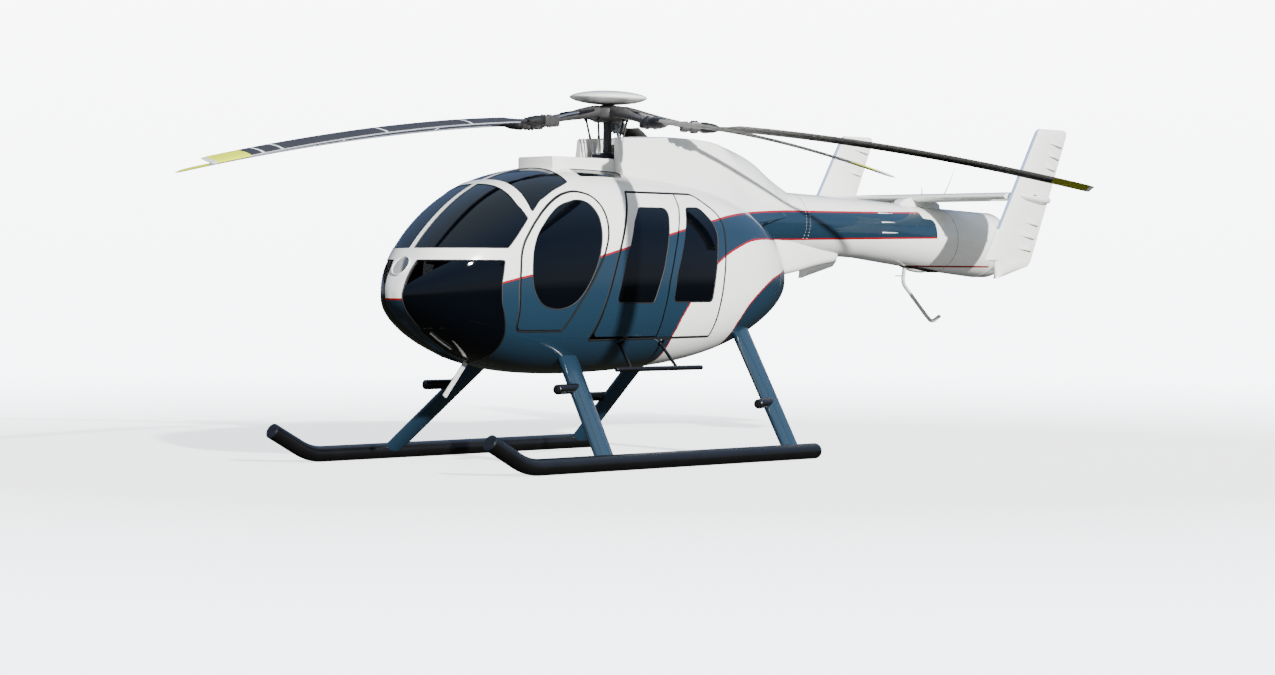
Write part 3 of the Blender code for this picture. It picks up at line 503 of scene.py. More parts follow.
def area(pts):
    return 0.5 * sum(pts[i - 1][0] * pts[i][1] - pts[i][0] * pts[i - 1][1] for i in range(len(pts)))


def box(name, lo, hi, mat=None):
    x0, y0, z0 = lo
    x1, y1, z1 = hi
    v = [(x0, y0, z0), (x1, y0, z0), (x1, y1, z0), (x0, y1, z0),
         (x0, y0, z1), (x1, y0, z1), (x1, y1, z1), (x0, y1, z1)]
    f = [(3, 2, 1, 0), (4, 5, 6, 7), (0, 1, 5, 4), (1, 2, 6, 5), (2, 3, 7, 6), (3, 0, 4, 7)]
    return new_object(name, v, f, mat)


def prism(name, pts, a, b, axis="x", mat=None):
    """Extrude a 2-D outline. axis x: points are (y, z); y: (x, z); z: (x, y)."""
    pts = list(pts)
    if area(pts) < 0:
        pts.reverse()
    lo, hi = min(a, b), max(a, b)
    put = {"x": lambda p, t: (t, p[0], p[1]), "y": lambda p, t: (p[0], t, p[1]),
           "z": lambda p, t: (p[0], p[1], t)}[axis]
    n = len(pts)
    v = [put(p, lo) for p in pts] + [put(p, hi) for p in pts]
    f = [tuple(range(n))[::-1], tuple(range(n, 2 * n))]
    f += [(i, (i + 1) % n, n + (i + 1) % n, n + i) for i in range(n)]
    if axis == "y":
        f = [tuple(reversed(q)) for q in f]
    return new_object(name, v, f, mat)


def rounded(rows, steps=10):
    """Outline from corner rows (u, v, corner radius)."""
    out = []
    n = len(rows)
    for i, (u, v, r) in enumerate(rows):
        p = Vector((u, v))
        a = Vector(rows[i - 1][:2]) - p
        b = Vector(rows[(i + 1) % n][:2]) - p
        if r <= 0:
            out.append((u, v))
            continue
        half = a.angle(b) / 2
        d = min(r / math.tan(half), 0.49 * a.length, 0.49 * b.length)
        p0, p1 = p + a.normalized() * d, p + b.normalized() * d
        for k in range(steps + 1):
            t = k / steps
            q = p0 * (1 - t) ** 2 + p * 2 * t * (1 - t) + p1 * t ** 2
            out.append((q.x, q.y))
    return out


def inset_rows(rows, d):
    """Corner rows moved inward by d, with their radii cut back."""
    rows = list(rows)
    if area([r[:2] for r in rows]) < 0:
        rows.reverse()
    pts = [r[:2] for r in rows]
    out, n = [], len(rows)
    for i in range(n):
        p0, p, p1 = (Vector(pts[(i + k) % n]) for k in (-1, 0, 1))
        e0, e1 = (p - p0).normalized(), (p1 - p).normalized()
        n0, n1 = Vector((-e0.y, e0.x)), Vector((-e1.y, e1.x))
        mid = (n0 + n1).normalized()
        q = p + mid * d / max(0.35, mid.dot(n0))
        r = rows[i][2]
        out.append((q.x, q.y, max(0.004, r - d) if r > 0 else 0))
    return out


def loft(name, rings, mat=None, caps=True):
    """Close a stack of rings with equal point counts into a solid."""
    n = len(rings[0])
    v = [tuple(p) for ring in rings for p in ring]
    f = []
    for k in range(len(rings) - 1):
        for i in range(n):
            j = (i + 1) % n
            f.append((k * n + i, k * n + j, (k + 1) * n + j, (k + 1) * n + i))
    if caps:
        f.append(tuple(range(n))[::-1])
        f.append(tuple((len(rings) - 1) * n + i for i in range(n)))
    return fix_normals(new_object(name, v, f, mat))


def spline(rows, n):
    """Smooth table: Catmull-Rom through rows of numbers, read at n even steps of the first column."""
    rows = np.array(rows, float)
    y = rows[:, 0]
    out = []
    for v in np.linspace(y[0], y[-1], n):
        i = int(min(max(np.searchsorted(y, v) - 1, 0), len(y) - 2))
        h = y[i + 1] - y[i]
        t = (v - y[i]) / h
        m0 = (rows[i + 1] - rows[i - 1]) / (y[i + 1] - y[i - 1]) if i > 0 else (rows[i + 1] - rows[i]) / h
        m1 = (rows[i + 2] - rows[i]) / (y[i + 2] - y[i]) if i + 2 < len(y) else (rows[i + 1] - rows[i]) / h
        p = ((2 * t ** 3 - 3 * t ** 2 + 1) * rows[i] + (t ** 3 - 2 * t ** 2 + t) * h * m0
             + (-2 * t ** 3 + 3 * t ** 2) * rows[i + 1] + (t ** 3 - t ** 2) * h * m1)
        p[0] = v
        out.append(p)
    return np.array(out)


def chaikin(pts, times=2, closed=True):
    """Corner cutting."""
    pts = [Vector(p) for p in pts]
    for _ in range(times):
        out = []
        for i in range(len(pts)):
            a, b = pts[i], pts[(i + 1) % len(pts)]
            out += [a * 0.75 + b * 0.25, a * 0.25 + b * 0.75]
        pts = out
    return pts


def tube(name, path, radii, sides=24, flat=1.0, mat=None, frame_up=None):
    """Round bar along a path; flat squeezes it across the first axis."""
    rings = []
    path = [Vector(p) for p in path]
    if not hasattr(radii, "__len__"):
        radii = [radii] * len(path)
    for i, p in enumerate(path):
        d = (path[min(i + 1, len(path) - 1)] - path[max(i - 1, 0)]).normalized()
        side = d.cross(Vector((0, 1, 0)) if abs(d.y) < 0.8 else Vector((1, 0, 0))).normalized()
        up = side.cross(d).normalized()
        rings.append([p + side * math.cos(a) * radii[i] * flat + up * math.sin(a) * radii[i]
                      for a in (2 * math.pi * k / sides for k in range(sides))])
    return loft(name, rings, mat)


def bent(points, radius, steps=8):
    """Path with its inner corners rounded."""
    pts = [Vector(p) for p in points]
    out = [pts[0]]
    for a, p, b in zip(pts, pts[1:], pts[2:]):
        da, db = a - p, b - p
        d = min(radius, 0.48 * da.length, 0.48 * db.length)
        p0, p1 = p + da.normalized() * d, p + db.normalized() * d
        for k in range(steps + 1):
            t = k / steps
            out.append(p0 * (1 - t) ** 2 + p * 2 * t * (1 - t) + p1 * t ** 2)
    out.append(pts[-1])
    return out


def capped(path, radius, dome=1.0, steps=5):
    """Path and radii with rounded ends; dome is the end's length over its radius."""
    path = [Vector(p) for p in path]
    d0 = (path[1] - path[0]).normalized()
    d1 = (path[-1] - path[-2]).normalized()
    a = [path[0] + d0 * radius * dome * (1 - math.cos(math.pi / 2 * k / steps)) for k in range(steps + 1)]
    ra = [max(0.02, math.sin(math.pi / 2 * k / steps)) * radius for k in range(steps + 1)]
    b = [path[-1] - d1 * radius * dome * (1 - math.cos(math.pi / 2 * k / steps)) for k in range(steps + 1)][::-1]
    rb = ra[::-1]
    return a + path[1:-1] + b, ra + [radius] * (len(path) - 2) + rb


def turned(name, profile, sides=48, mat=None):
    """Turn (radius, z) rows about Z; the first and last radius are 0."""
    v, f = [(0, 0, profile[0][1])], []
    for r, z in profile[1:-1]:
        v += [(r * math.cos(2 * math.pi * k / sides), r * math.sin(2 * math.pi * k / sides), z)
              for k in range(sides)]
    v.append((0, 0, profile[-1][1]))
    rows = len(profile) - 2
    for k in range(sides):
        j = (k + 1) % sides
        f.append((0, 1 + k, 1 + j))
        for r in range(rows - 1):
            f.append((1 + r * sides + k, 1 + (r + 1) * sides + k, 1 + (r + 1) * sides + j, 1 + r * sides + j))
        f.append((len(v) - 1, 1 + (rows - 1) * sides + j, 1 + (rows - 1) * sides + k))
    return fix_normals(new_object(name, v, f, mat))


def aim(ob, at, direction, up="Y"):
    """Stand a piece made about +Z at a point, along a direction."""
    ob.data.transform(Matrix.Translation(Vector(at)) @ Vector(direction).to_track_quat("Z", up).to_matrix().to_4x4())
    return ob


# ------------------------------------------------------------ pod surface
def bern(t, coef, power):
    n = len(coef) - 1
    total = sum(math.comb(n, i) * t ** i * (1 - t) ** (n - i) * c for i, c in enumerate(coef))
    return (t * (1 - t)) ** power * total


def section(t):
    t = np.clip(t, 1e-6, 1 - 1e-6)
    line = POD_NOSE[1] + (POD_TAIL[1] - POD_NOSE[1]) * t
    waist = line + bern(t, POD_WAIST, 1.0)
    return (line + bern(t, POD_TOP, 0.5) - waist, waist - line + bern(t, POD_BELLY, 0.5), bern(t, POD_WIDTH, 0.5), waist)


def level(p):
    """Implicit value of the pod surface: 1 on the skin."""
    t = (p[:, 1] - POD_NOSE[0]) / (POD_TAIL[0] - POD_NOSE[0])
    up, down, w, waist = section(t)
    dz = p[:, 2] - waist
    h = np.where(dz >= 0, up, down)
    n = np.where(dz >= 0, ROUND_TOP, ROUND_BELLY)
    return (np.abs(p[:, 0] / w) ** n + np.abs(dz / h) ** n) ** (1 / n)


def normals(p):
    """Outward unit normals of the pod near the points."""
    p = np.asarray(p, float).reshape(-1, 3)
    g = np.zeros_like(p)
    for i in range(3):
        e = np.zeros(3)
        e[i] = 1e-4
        g[:, i] = (level(p + e) - level(p - e)) / 2e-4
    ends = (p[:, 1] < POD_NOSE[0] + 0.004) | (p[:, 1] > POD_TAIL[0] - 0.004)
    g[ends] = np.stack([np.zeros(ends.sum()), np.sign(p[ends, 1]), np.zeros(ends.sum())], 1)
    return g / np.maximum(np.linalg.norm(g, axis=1), 1e-12)[:, None]


def pod(t, a):
    """Skin points at share t along the pod and polar angle a."""
    t, a = np.broadcast_arrays(np.asarray(t, float), np.asarray(a, float))
    up, down, w, waist = section(t)
    c, s = np.cos(a), np.sin(a)
    h = np.where(s >= 0, up, down)
    n = np.where(s >= 0, ROUND_TOP, ROUND_BELLY)
    r = (np.abs(c / w) ** n + np.abs(s / h) ** n) ** (-1 / n)
    y = POD_NOSE[0] + (POD_TAIL[0] - POD_NOSE[0]) * t
    return np.stack([r * c, y, waist + r * s], -1)


def side_point(y, z, sx=1):
    """Point on the port or starboard skin at y, z."""
    t = (y - POD_NOSE[0]) / (POD_TAIL[0] - POD_NOSE[0])
    up, down, w, waist = section(np.array(t))
    dz = z - waist
    h, n = (up, ROUND_TOP) if dz >= 0 else (down, ROUND_BELLY)
    x = w * max(0.0, 1 - abs(dz / h) ** n) ** (1 / n)
    return Vector((float(sx * x), y, z))


def offset_grid(t, a, off):
    p = pod(t[:, None], a[None, :])
    return p + normals(p.reshape(-1, 3)).reshape(p.shape) * off


def whole(name, off, stations=96, around=128):
    """Closed pod surface at an offset."""
    t = (1 - np.cos(np.pi * np.arange(1, stations) / stations)) / 2
    a = 2 * np.pi * (np.arange(around) + 0.5) / around
    g = offset_grid(t, a, off)
    v = [(0, POD_NOSE[0] - off, POD_NOSE[1])] + [tuple(p) for row in g for p in row] + [(0, POD_TAIL[0] + off, POD_TAIL[1])]
    n, rows = around, len(t)
    f = []
    for j in range(n):
        k = (j + 1) % n
        f.append((0, 1 + j, 1 + k))
        for r in range(rows - 1):
            f.append((1 + r * n + j, 1 + (r + 1) * n + j, 1 + (r + 1) * n + k, 1 + r * n + k))
        f.append((len(v) - 1, 1 + (rows - 1) * n + k, 1 + (rows - 1) * n + j))
    return fix_normals(new_object(name, v, f))


def patch(name, y0, y1, a0, a1, nt, na, outer, inner):
    """Closed slab of the pod wall over a stretch of y and polar angle."""
    span = POD_TAIL[0] - POD_NOSE[0]
    u0, u1 = (math.acos(1 - 2 * min(1, max(0, (y - POD_NOSE[0]) / span))) for y in (y0, y1))
    t = (1 - np.cos(np.linspace(max(u0, 0.012), u1, nt))) / 2
    a = np.linspace(a0, a1, na)
    go, gi = offset_grid(t, a, outer), offset_grid(t, a, inner)
    v = [tuple(p) for row in go for p in row] + [tuple(p) for row in gi for p in row]
    o = nt * na
    f = []
    for r in range(nt - 1):
        for j in range(na - 1):
            q = (r * na + j, (r + 1) * na + j, (r + 1) * na + j + 1, r * na + j + 1)
            f += [q, tuple(o + i for i in reversed(q))]
    edge = ([j for j in range(na)] + [r * na + na - 1 for r in range(1, nt)]
            + [(nt - 1) * na + j for j in range(na - 2, -1, -1)] + [r * na for r in range(nt - 2, 0, -1)])
    for i in range(len(edge)):
        a_, b_ = edge[i], edge[(i + 1) % len(edge)]
        f.append((a_, b_, o + b_, o + a_))
    return fix_normals(new_object(name, v, f))


def skin_shading(ob, mats, outer_only=False):
    """Exact normals on the curved faces; outside, inside and cut edges get their own material."""
    mesh = ob.data
    bm = bmesh.new()
    bm.from_mesh(mesh)
    bmesh.ops.remove_doubles(bm, verts=bm.verts, dist=1e-5)
    bmesh.ops.dissolve_degenerate(bm, edges=bm.edges, dist=1e-5)
    bmesh.ops.triangulate(bm, faces=[f for f in bm.faces if len(f.verts) > 4])
    bm.to_mesh(mesh)
    bm.free()
    mesh.materials.clear()
    for k in mats:
        mesh.materials.append(k.mat)
    nf = len(mesh.polygons)
    centre = np.zeros(nf * 3)
    fn = np.zeros(nf * 3)
    mesh.polygons.foreach_get("center", centre)
    mesh.polygons.foreach_get("normal", fn)
    fn = fn.reshape(-1, 3)
    nc = normals(centre.reshape(-1, 3))
    dot = (fn * nc).sum(1)
    kind = np.where(dot > 0.90, 0, np.where(dot < -0.90, 1, 2))
    mesh.polygons.foreach_set("material_index", np.minimum(kind, len(mats) - 1).astype(np.int32))
    co = np.zeros(len(mesh.vertices) * 3)
    mesh.vertices.foreach_get("co", co)
    nv = normals(co.reshape(-1, 3))
    li = np.zeros(len(mesh.loops), np.int32)
    mesh.loops.foreach_get("vertex_index", li)
    totals = np.zeros(nf, np.int32)
    mesh.polygons.foreach_get("loop_total", totals)
    kind_l = np.repeat(kind, totals)
    face_l = np.repeat(fn, totals, axis=0)
    n = np.where((kind_l == 0)[:, None], nv[li], np.where((kind_l == 1)[:, None], -nv[li], face_l))
    mesh.shade_smooth()
    mesh.normals_split_custom_set([tuple(v) for v in n])
    return ob


def edge_loops(ob):
    """Closed rims of the outer skin, each as points and the side its material is on."""
    bm = bmesh.new()
    bm.from_mesh(ob.data)
    bm.normal_update()
    nc = normals([f.calc_center_median() for f in bm.faces])
    outer = {f: f.normal.dot(Vector(n)) > 0.90 for f, n in zip(bm.faces, nc)}
    rim = [e for e in bm.edges if sum(outer[f] for f in e.link_faces) == 1]
    at = {}
    for e in rim:
        for v in e.verts:
            at.setdefault(v, []).append(e)
    used, loops = set(), []
    for e0 in rim:
        if e0 in used:
            continue
        used.add(e0)
        start, v = e0.verts
        pts, edges = [start, v], [e0]
        while v != start:
            nxt = [e for e in at[v] if e not in used]
            if not nxt:
                break
            e = nxt[0]
            used.add(e)
            edges.append(e)
            v = e.other_vert(v)
            pts.append(v)
        if len(pts) < 12:
            continue
        sign = 0.0
        for i, e in enumerate(edges):
            face = [f for f in e.link_faces if outer[f]][0]
            a, b = pts[i].co, pts[i + 1].co
            nrm = Vector(normals([a])[0])
            sign += (b - a).cross(nrm).dot(face.calc_center_median() - a) * 1.0 / max(1e-9, (b - a).length)
        loops.append((np.array([p.co[:] for p in pts[:-1]]), -1 if sign > 0 else 1))
    bm.free()
    return loops


def resample(p, step):
    q = np.vstack([p, p[:1]])
    seg = np.linalg.norm(np.diff(q, axis=0), axis=1)
    s = np.concatenate([[0], np.cumsum(seg)])
    n = max(12, int(s[-1] / step))
    u = np.linspace(0, s[-1], n, endpoint=False)
    return np.stack([np.interp(u, s, q[:, i]) for i in range(3)], 1)


def gasket(name, loops, profile, mat, step=0.010):
    """Strips along rims. profile points are (toward the hole, above the skin)."""
    v, f = [], []
    for pts, sign in loops:
        p = resample(pts, step)
        n = len(p)
        nrm = normals(p)
        tan = np.roll(p, -1, 0) - np.roll(p, 1, 0)
        tan /= np.linalg.norm(tan, axis=1)[:, None]
        side = np.cross(tan, nrm) * sign
        side /= np.linalg.norm(side, axis=1)[:, None]
        base = len(v)
        m_ = len(profile)
        for i in range(n):
            for b, h in profile:
                v.append(tuple(p[i] + side[i] * b + nrm[i] * h))
        for i in range(n):
            j = (i + 1) % n
            for k in range(m_):
                l_ = (k + 1) % m_
                f.append((base + i * m_ + k, base + j * m_ + k, base + j * m_ + l_, base + i * m_ + l_))
    ob = fix_normals(new_object(name, v, f, mat))
    return smooth(ob, 50)


# ------------------------------------------------------------ openings
FRONT_DOOR = ((-1.585, 1.062, 0.060), (-1.149, 1.062, 0.012), (-1.023, 1.249, 0.90), (-0.875, 1.447, 0.90), (-0.742, 1.646, 0.90),
              (-0.672, 1.800, 0.90), (-0.652, 1.935, 0.90), (-0.676, 2.055, 0.90), (-0.750, 2.136, 0.90), (-0.900, 2.170, 0.90),
              (-1.075, 2.134, 0.90), (-1.270, 2.028, 0.90), (-1.428, 1.884, 0.90), (-1.530, 1.758, 0.90), (-1.572, 1.660, 0.90),
              (-1.598, 1.400, 0.90))
FRONT_WINDOW = ((-1.460, 1.690, 0.90), (-1.479, 1.540, 0.90), (-1.472, 1.390, 0.90), (-1.388, 1.258, 0.90), (-1.212, 1.222, 0.90),
                (-1.045, 1.276, 0.90), (-0.916, 1.412, 0.90), (-0.797, 1.612, 0.90), (-0.735, 1.828, 0.90), (-0.739, 1.980, 0.90),
                (-0.802, 2.074, 0.90), (-0.914, 2.099, 0.90), (-1.122, 2.050, 0.90), (-1.262, 1.955, 0.90), (-1.398, 1.820, 0.90))
REAR_DOORS = ((-0.835, 0.985, 0.015), (-0.745, 1.240, 0.40), (-0.600, 1.620, 0.40), (-0.440, 1.960, 0.40),
              (-0.325, 2.172, 0.015), (0.530, 2.172, 0.18), (0.790, 1.985, 0.20), (0.735, 1.550, 0.50),
              (0.680, 1.250, 0.40), (0.655, 1.000, 0.015))
MID_LEAF = ((-0.815, 1.003, 0.050), (-0.741, 1.240, 0.40), (-0.596, 1.620, 0.40), (-0.436, 1.960, 0.40)) + REAR_DOORS[4:]
DOOR_SPLIT = ((-0.060, 0.90), (-0.030, 1.20), (0.020, 1.45), (0.094, 1.686), (0.175, 1.882), (0.252, 2.052),
              (0.310, 2.30))
MID_WINDOW = ((-0.605, 1.280, 0.045), (-0.165, 1.278, 0.045), (-0.050, 1.540, 0.40), (0.045, 1.830, 0.30),
              (0.105, 2.048, 0.060), (-0.250, 2.046, 0.050), (-0.345, 1.930, 0.20), (-0.500, 1.590, 0.50))
AFT_WINDOW = ((0.070, 1.285, 0.045), (0.565, 1.288, 0.045), (0.625, 1.580, 0.40), (0.685, 1.900, 0.20),
              (0.520, 2.060, 0.100), (0.340, 2.056, 0.045), (0.245, 1.840, 0.30), (0.120, 1.530, 0.40))
WINDSHIELD = ((-2.90, 1.706, 0), (-1.672, 1.706, 0.015), (-1.448, 1.940, 0.015), (-1.490, 2.060, 0.08),
              (-1.487, 2.90, 0), (-2.90, 2.90, 0))
ROOF_WINDOW = ((-1.396, 1.985, 0.012), (-1.290, 2.075, 0.20), (-1.120, 2.158, 0.30), (-0.900, 2.236, 0.012),
               (-0.925, 2.90, 0), (-1.396, 2.90, 0))
CHIN_WINDOW = ((-2.90, 1.612, 0), (-1.710, 1.612, 0.015), (-1.743, 1.440, 0.20), (-1.742, 1.290, 0.20),
               (-1.655, 1.040, 0.25), (-1.620, 0.870, 0.10), (-1.640, 0.60, 0), (-2.90, 0.60, 0))
STRIP_HALF = 0.027
CHIN_INNER = ((0.130, 1.70), (0.128, 1.606), (0.117, 1.540), (0.110, 1.473), (0.104, 1.400), (0.094, 1.345), (0.092, 1.240),
              (0.089, 1.152), (0.080, 1.062), (0.068, 0.954), (0.057, 0.870), (0.052, 0.50))
SKYLIGHT = ((0.222, -0.665, 0.02), (0.385, -0.705, 0.02), (0.380, -0.215, 0.06), (0.235, -0.100, 0.04))


def pane_cutter(kind, sx, shrink=0.0):
    near = STRIP_HALF if kind != "chin" else 0.05
    if kind == "skylight":
        pts = rounded(inset_rows(SKYLIGHT, shrink))
        return prism("cutter", [(sx * x, y) for x, y in pts], 1.9, 2.7, axis="z")
    rows = {"windshield": WINDSHIELD, "roof": ROOF_WINDOW, "chin": CHIN_WINDOW}[kind]
    ob = prism("cutter", rounded(inset_rows(rows, shrink)), sx * (near + shrink), sx * 1.2)
    if kind == "chin":
        edge = [(x + shrink, z) for x, z in CHIN_INNER]
        pts = edge + [(1.1, 0.50), (1.1, 1.70)]
        boolean(ob, prism("edge", [(sx * x, z) for x, z in pts], -3.2, -1.0, axis="y"), "INTERSECT")
    return ob


def door_prism(rows, sx, shrink=0.0):
    return prism("cutter", rounded(inset_rows(rows, shrink)), sx * 0.30, sx * 1.0)


def split_outline(side):
    pts = [(y + side * SPLIT_GAP / 2, z) for y, z in DOOR_SPLIT]
    return pts + [(side * 3.0, DOOR_SPLIT[-1][1]), (side * 3.0, DOOR_SPLIT[0][1])]


PANES = (("windshield", "windshield"), ("roof_window", "roof"), ("chin_window", "chin"), ("skylight", "skylight"))

# skin: one wall with all its openings
skin = whole("cabin_skin", 0.0)
boolean(skin, whole("inner", -SHELL), "DIFFERENCE")
cutters = []
for side, sx in SIDES:
    cutters += [pane_cutter(kind, sx) for _, kind in PANES]
    cutters += [door_prism(FRONT_DOOR, sx), door_prism(REAR_DOORS, sx)]
boolean(skin, join("cutters", cutters), "DIFFERENCE")
skin_shading(skin, (paint, inside, rubber))
skin_rims = edge_loops(skin)
place(skin, "airframe", ("canopy_frame", "roof_shell", "pillar_port", "pillar_stbd", "belly_pan", "rear_fuselage"))

# panes
EXTENT = {"windshield": (-2.45, -1.30, -0.05, 1.62, 60, 60), "roof": (-1.50, -0.80, 0.35, 1.62, 40, 44),
          "chin": (-2.45, -1.50, -1.62, 0.6, 60, 70), "skylight": (-0.80, -0.02, 0.60, 1.50, 36, 30)}
for node, kind in PANES:
    y0, y1, a0, a1, nt, na = EXTENT[kind]
    pane = patch(node + "_glass_port", y0, y1, a0, a1, nt, na, -GLASS_SINK, -GLASS_SINK - GLASS_T)
    boolean(pane, pane_cutter(kind, 1, GLASS_GAP), "INTERSECT")
    skin_shading(pane, (glass,))
    other = mirrored(pane, node + "_glass_stbd")
    skin_shading(other, (glass,))
    place(pane, "airframe", (node + "_port",))
    place(other, "airframe", (node + "_stbd",))

# rubber in the airframe's rims
door_rims = [r for r in skin_rims if abs(r[0][:, 0].mean()) > 0.30 and r[0][:, 1].max() > -1.30 and r[0][:, 2].mean() < 2.05]
pane_rims = [r for r in skin_rims if not any(r is d for d in door_rims)]
print("rims", len(skin_rims), "doors", len(door_rims))
SEAL = ((-0.0085, -0.010), (-0.0085, 0.0004), (-0.005, 0.0012), (0.0030, 0.0010), (0.0045, -0.0016), (0.0045, -0.010))
RIM = ((-0.0035, -0.008), (-0.0035, 0.0006), (-0.001, 0.0012), (0.0035, 0.0004), (0.006, -0.0032), (0.006, -0.009))
place(gasket("door_frame_seals", door_rims, SEAL, rubber), "airframe", ())
place(gasket("pane_seals", pane_rims, RIM, rubber), "airframe", ())

# doors
for node, outline, window, leaf, y0, y1 in (("front_door", FRONT_DOOR, FRONT_WINDOW, 0, -1.66, -0.56),
                                            ("mid_door", MID_LEAF, MID_WINDOW, -1, -0.90, 0.40),
                                            ("aft_door", REAR_DOORS, AFT_WINDOW, 1, -0.14, 0.86)):
    slab = patch(node + "_skin_port", y0, y1, -1.10, 1.30, 56, 84, 0.0, -SHELL)
    boolean(slab, door_prism(outline, 1, DOOR_GAP), "INTERSECT")
    if leaf:
        boolean(slab, prism("cutter", split_outline(leaf), 0.2, 1.1), "INTERSECT")
    boolean(slab, door_prism(window, 1), "DIFFERENCE")
    skin_shading(slab, (paint, inside, rubber))
    pane = patch(node + "_pane_port", y0, y1, -0.8, 1.25, 50, 64, -GLASS_SINK, -GLASS_SINK - GLASS_T)
    boolean(pane, door_prism(window, 1, GLASS_GAP), "INTERSECT")
    skin_shading(pane, (glass,))
    rims = edge_loops(slab)
    size = [len(r[0]) and np.ptp(r[0][:, 1]) for r in rims]
    window_rims = [r for r, s in zip(rims, size) if s < max(size)]
    seal = gasket(node + "_window_seal_port", window_rims, RIM, rubber)
    for side, sx in SIDES:
        parts = (slab, pane, seal) if sx > 0 else tuple(
            mirrored(o, o.name.replace("port", "stbd")) for o in (slab, pane, seal))
        if sx < 0:
            skin_shading(parts[0], (paint, inside, rubber))
            skin_shading(parts[1], (glass,))
        place(parts[0], "%s_%s" % (node, side), ("%s_%s" % (node, side),))
        place(parts[1], "%s_%s" % (node, side), ("%s_glass_%s" % (node, side),))
        place(parts[2], "%s_%s" % (node, side), ())

# ------------------------------------------------------------ upper fairings and tail
DOGHOUSE = ((-0.100, 2.630, 0.208, 2.600, 0.232, 0.330, 2.20), (0.25, 2.645, 0.208, 2.612, 0.232, 0.400, 2.15),
            (0.70, 2.655, 0.200, 2.618, 0.226, 0.450, 2.05), (1.15, 2.635, 0.170, 2.580, 0.224, 0.450, 1.95),
            (1.50, 2.585, 0.080, 2.390, 0.226, 0.400, 1.90), (1.80, 2.490, 0.050, 2.230, 0.232, 0.320, 1.95),
            (2.05, 2.350, 0.040, 2.120, 0.232, 0.255, 2.00), (2.299, 2.230, 0.040, 2.060, 0.230, 0.240, 2.02))
BOOM = ((1.250, 1.968, 0.250), (2.300, 1.972, 0.262), (3.255, 1.936, 0.266), (4.342, 1.852, 0.292), (5.000, 1.812, 0.306))
INLET_HALF, INLET_BACK, INLET_FLOOR = 0.192, 0.260, 2.395


def boom_at(y):
    for (y0, z0, r0), (y1, z1, r1) in zip(BOOM, BOOM[1:]):
        if y <= y1:
            t = (y - y0) / (y1 - y0)
            return z0 + t * (z1 - z0), r0 + t * (r1 - r0)
    return BOOM[-1][1:]


def ring_y(y, zc, r, n=64, wide=1.0):
    return [Vector((r * wide * math.cos(2 * math.pi * k / n), y, zc + r * math.sin(2 * math.pi * k / n)))
            for k in range(n)]


rings = []
for y, zt, xt, zs, xs, xf, zf in spline(DOGHOUSE, 56):
    right = [(xf, zf), (xf * 0.62 + xs * 0.38, zf + 0.30 * (zs - zf)), (xs * 1.04, zf + 0.72 * (zs - zf)), (xs, zs), (xt, zt)]
    pts = right + [(-x, z) for x, z in reversed(right)]
    pts = chaikin([(x, y, z) for x, z in pts], 3)
    rings.append(pts)
doghouse = loft("doghouse_shell", rings, paint)
boolean(doghouse, prism("inlet", rounded(((-INLET_HALF, INLET_FLOOR, 0.03), (INLET_HALF, INLET_FLOOR, 0.03),
                                          (INLET_HALF, 3.0, 0), (-INLET_HALF, 3.0, 0))), -0.5, INLET_BACK, axis="y"), "DIFFERENCE")
smooth(doghouse, 32)
place(doghouse, "airframe", ("doghouse",))

# duct inside the inlet: dark sheets at its back and on its floor, painted shade standing in for the duct's depth, and a
# mesh screen
back_shade_sheet = prism("back_shade_sheet", rounded(((-INLET_HALF + 0.001, INLET_FLOOR + 0.001, 0.03), (INLET_HALF - 0.001, INLET_FLOOR + 0.001, 0.03),
                                  (INLET_HALF - 0.001, 2.585, 0.02), (-INLET_HALF + 0.001, 2.585, 0.02))),
               INLET_BACK - 0.012, INLET_BACK - 0.002, axis="y", mat=duct_shade_look)
floor_shade_sheet = box("tray", (-INLET_HALF + 0.004, -0.095, INLET_FLOOR + 0.0005), (INLET_HALF - 0.004, INLET_BACK - 0.012, INLET_FLOOR + 0.004), duct_shade_look)
bars = [tube("bar", [(x, INLET_BACK - 0.03, INLET_FLOOR + 0.01), (x, INLET_BACK - 0.03, 2.58)], 0.003, 6, mat=dark_metal)
        for x in np.linspace(-0.17, 0.17, 12)]
bars += [tube("bar", [(-0.185, INLET_BACK - 0.033, z), (0.185, INLET_BACK - 0.033, z)], 0.003, 6, mat=dark_metal)
         for z in np.linspace(2.42, 2.56, 6)]
place(join("inlet_screen", [back_shade_sheet, floor_shade_sheet] + bars), "airframe")

# collar round the mast, at the front of the inlet
collar = turned("mast_collar", ((0, 2.38), (0.175, 2.38), (0.172, 2.415), (0.150, 2.428), (0.120, 2.432), (0.080, 2.434), (0, 2.434)), 48, hub_grey)
collar.data.transform(Matrix.Translation((0.014, 0, 0)))
smooth(collar, 30)
place(collar, "airframe")

# roof fairing
rows = ((-0.195, 2.20, 0), (0.195, 2.20, 0), (0.195, 2.450, 0.022), (-0.195, 2.450, 0.022))
fairing = prism("roof_fairing_shell", rounded(rows, 5), -0.820, -0.101, axis="y", mat=white)
bevel(fairing, 0.006, 3, 50)
place(fairing, "airframe", ("roof_fairing",))

# boom
rings = [ring_y(y, *boom_at(y)) for y in np.linspace(1.27, 4.998, 50)]
boom = smooth(loft("boom_shell", rings, paint))
place(boom, "airframe", ("tail_boom",))

# rivet-lined band and seam at the boom root and at the thruster
seams = []
for y in (2.300, 4.420):
    z, r = boom_at(y)
    seams.append(smooth(loft("seam", [ring_y(y - 0.0022, z, r + 0.0006), ring_y(y + 0.0022, z, r + 0.0006)], rubber)))
place(join("boom_seams", seams), "airframe")


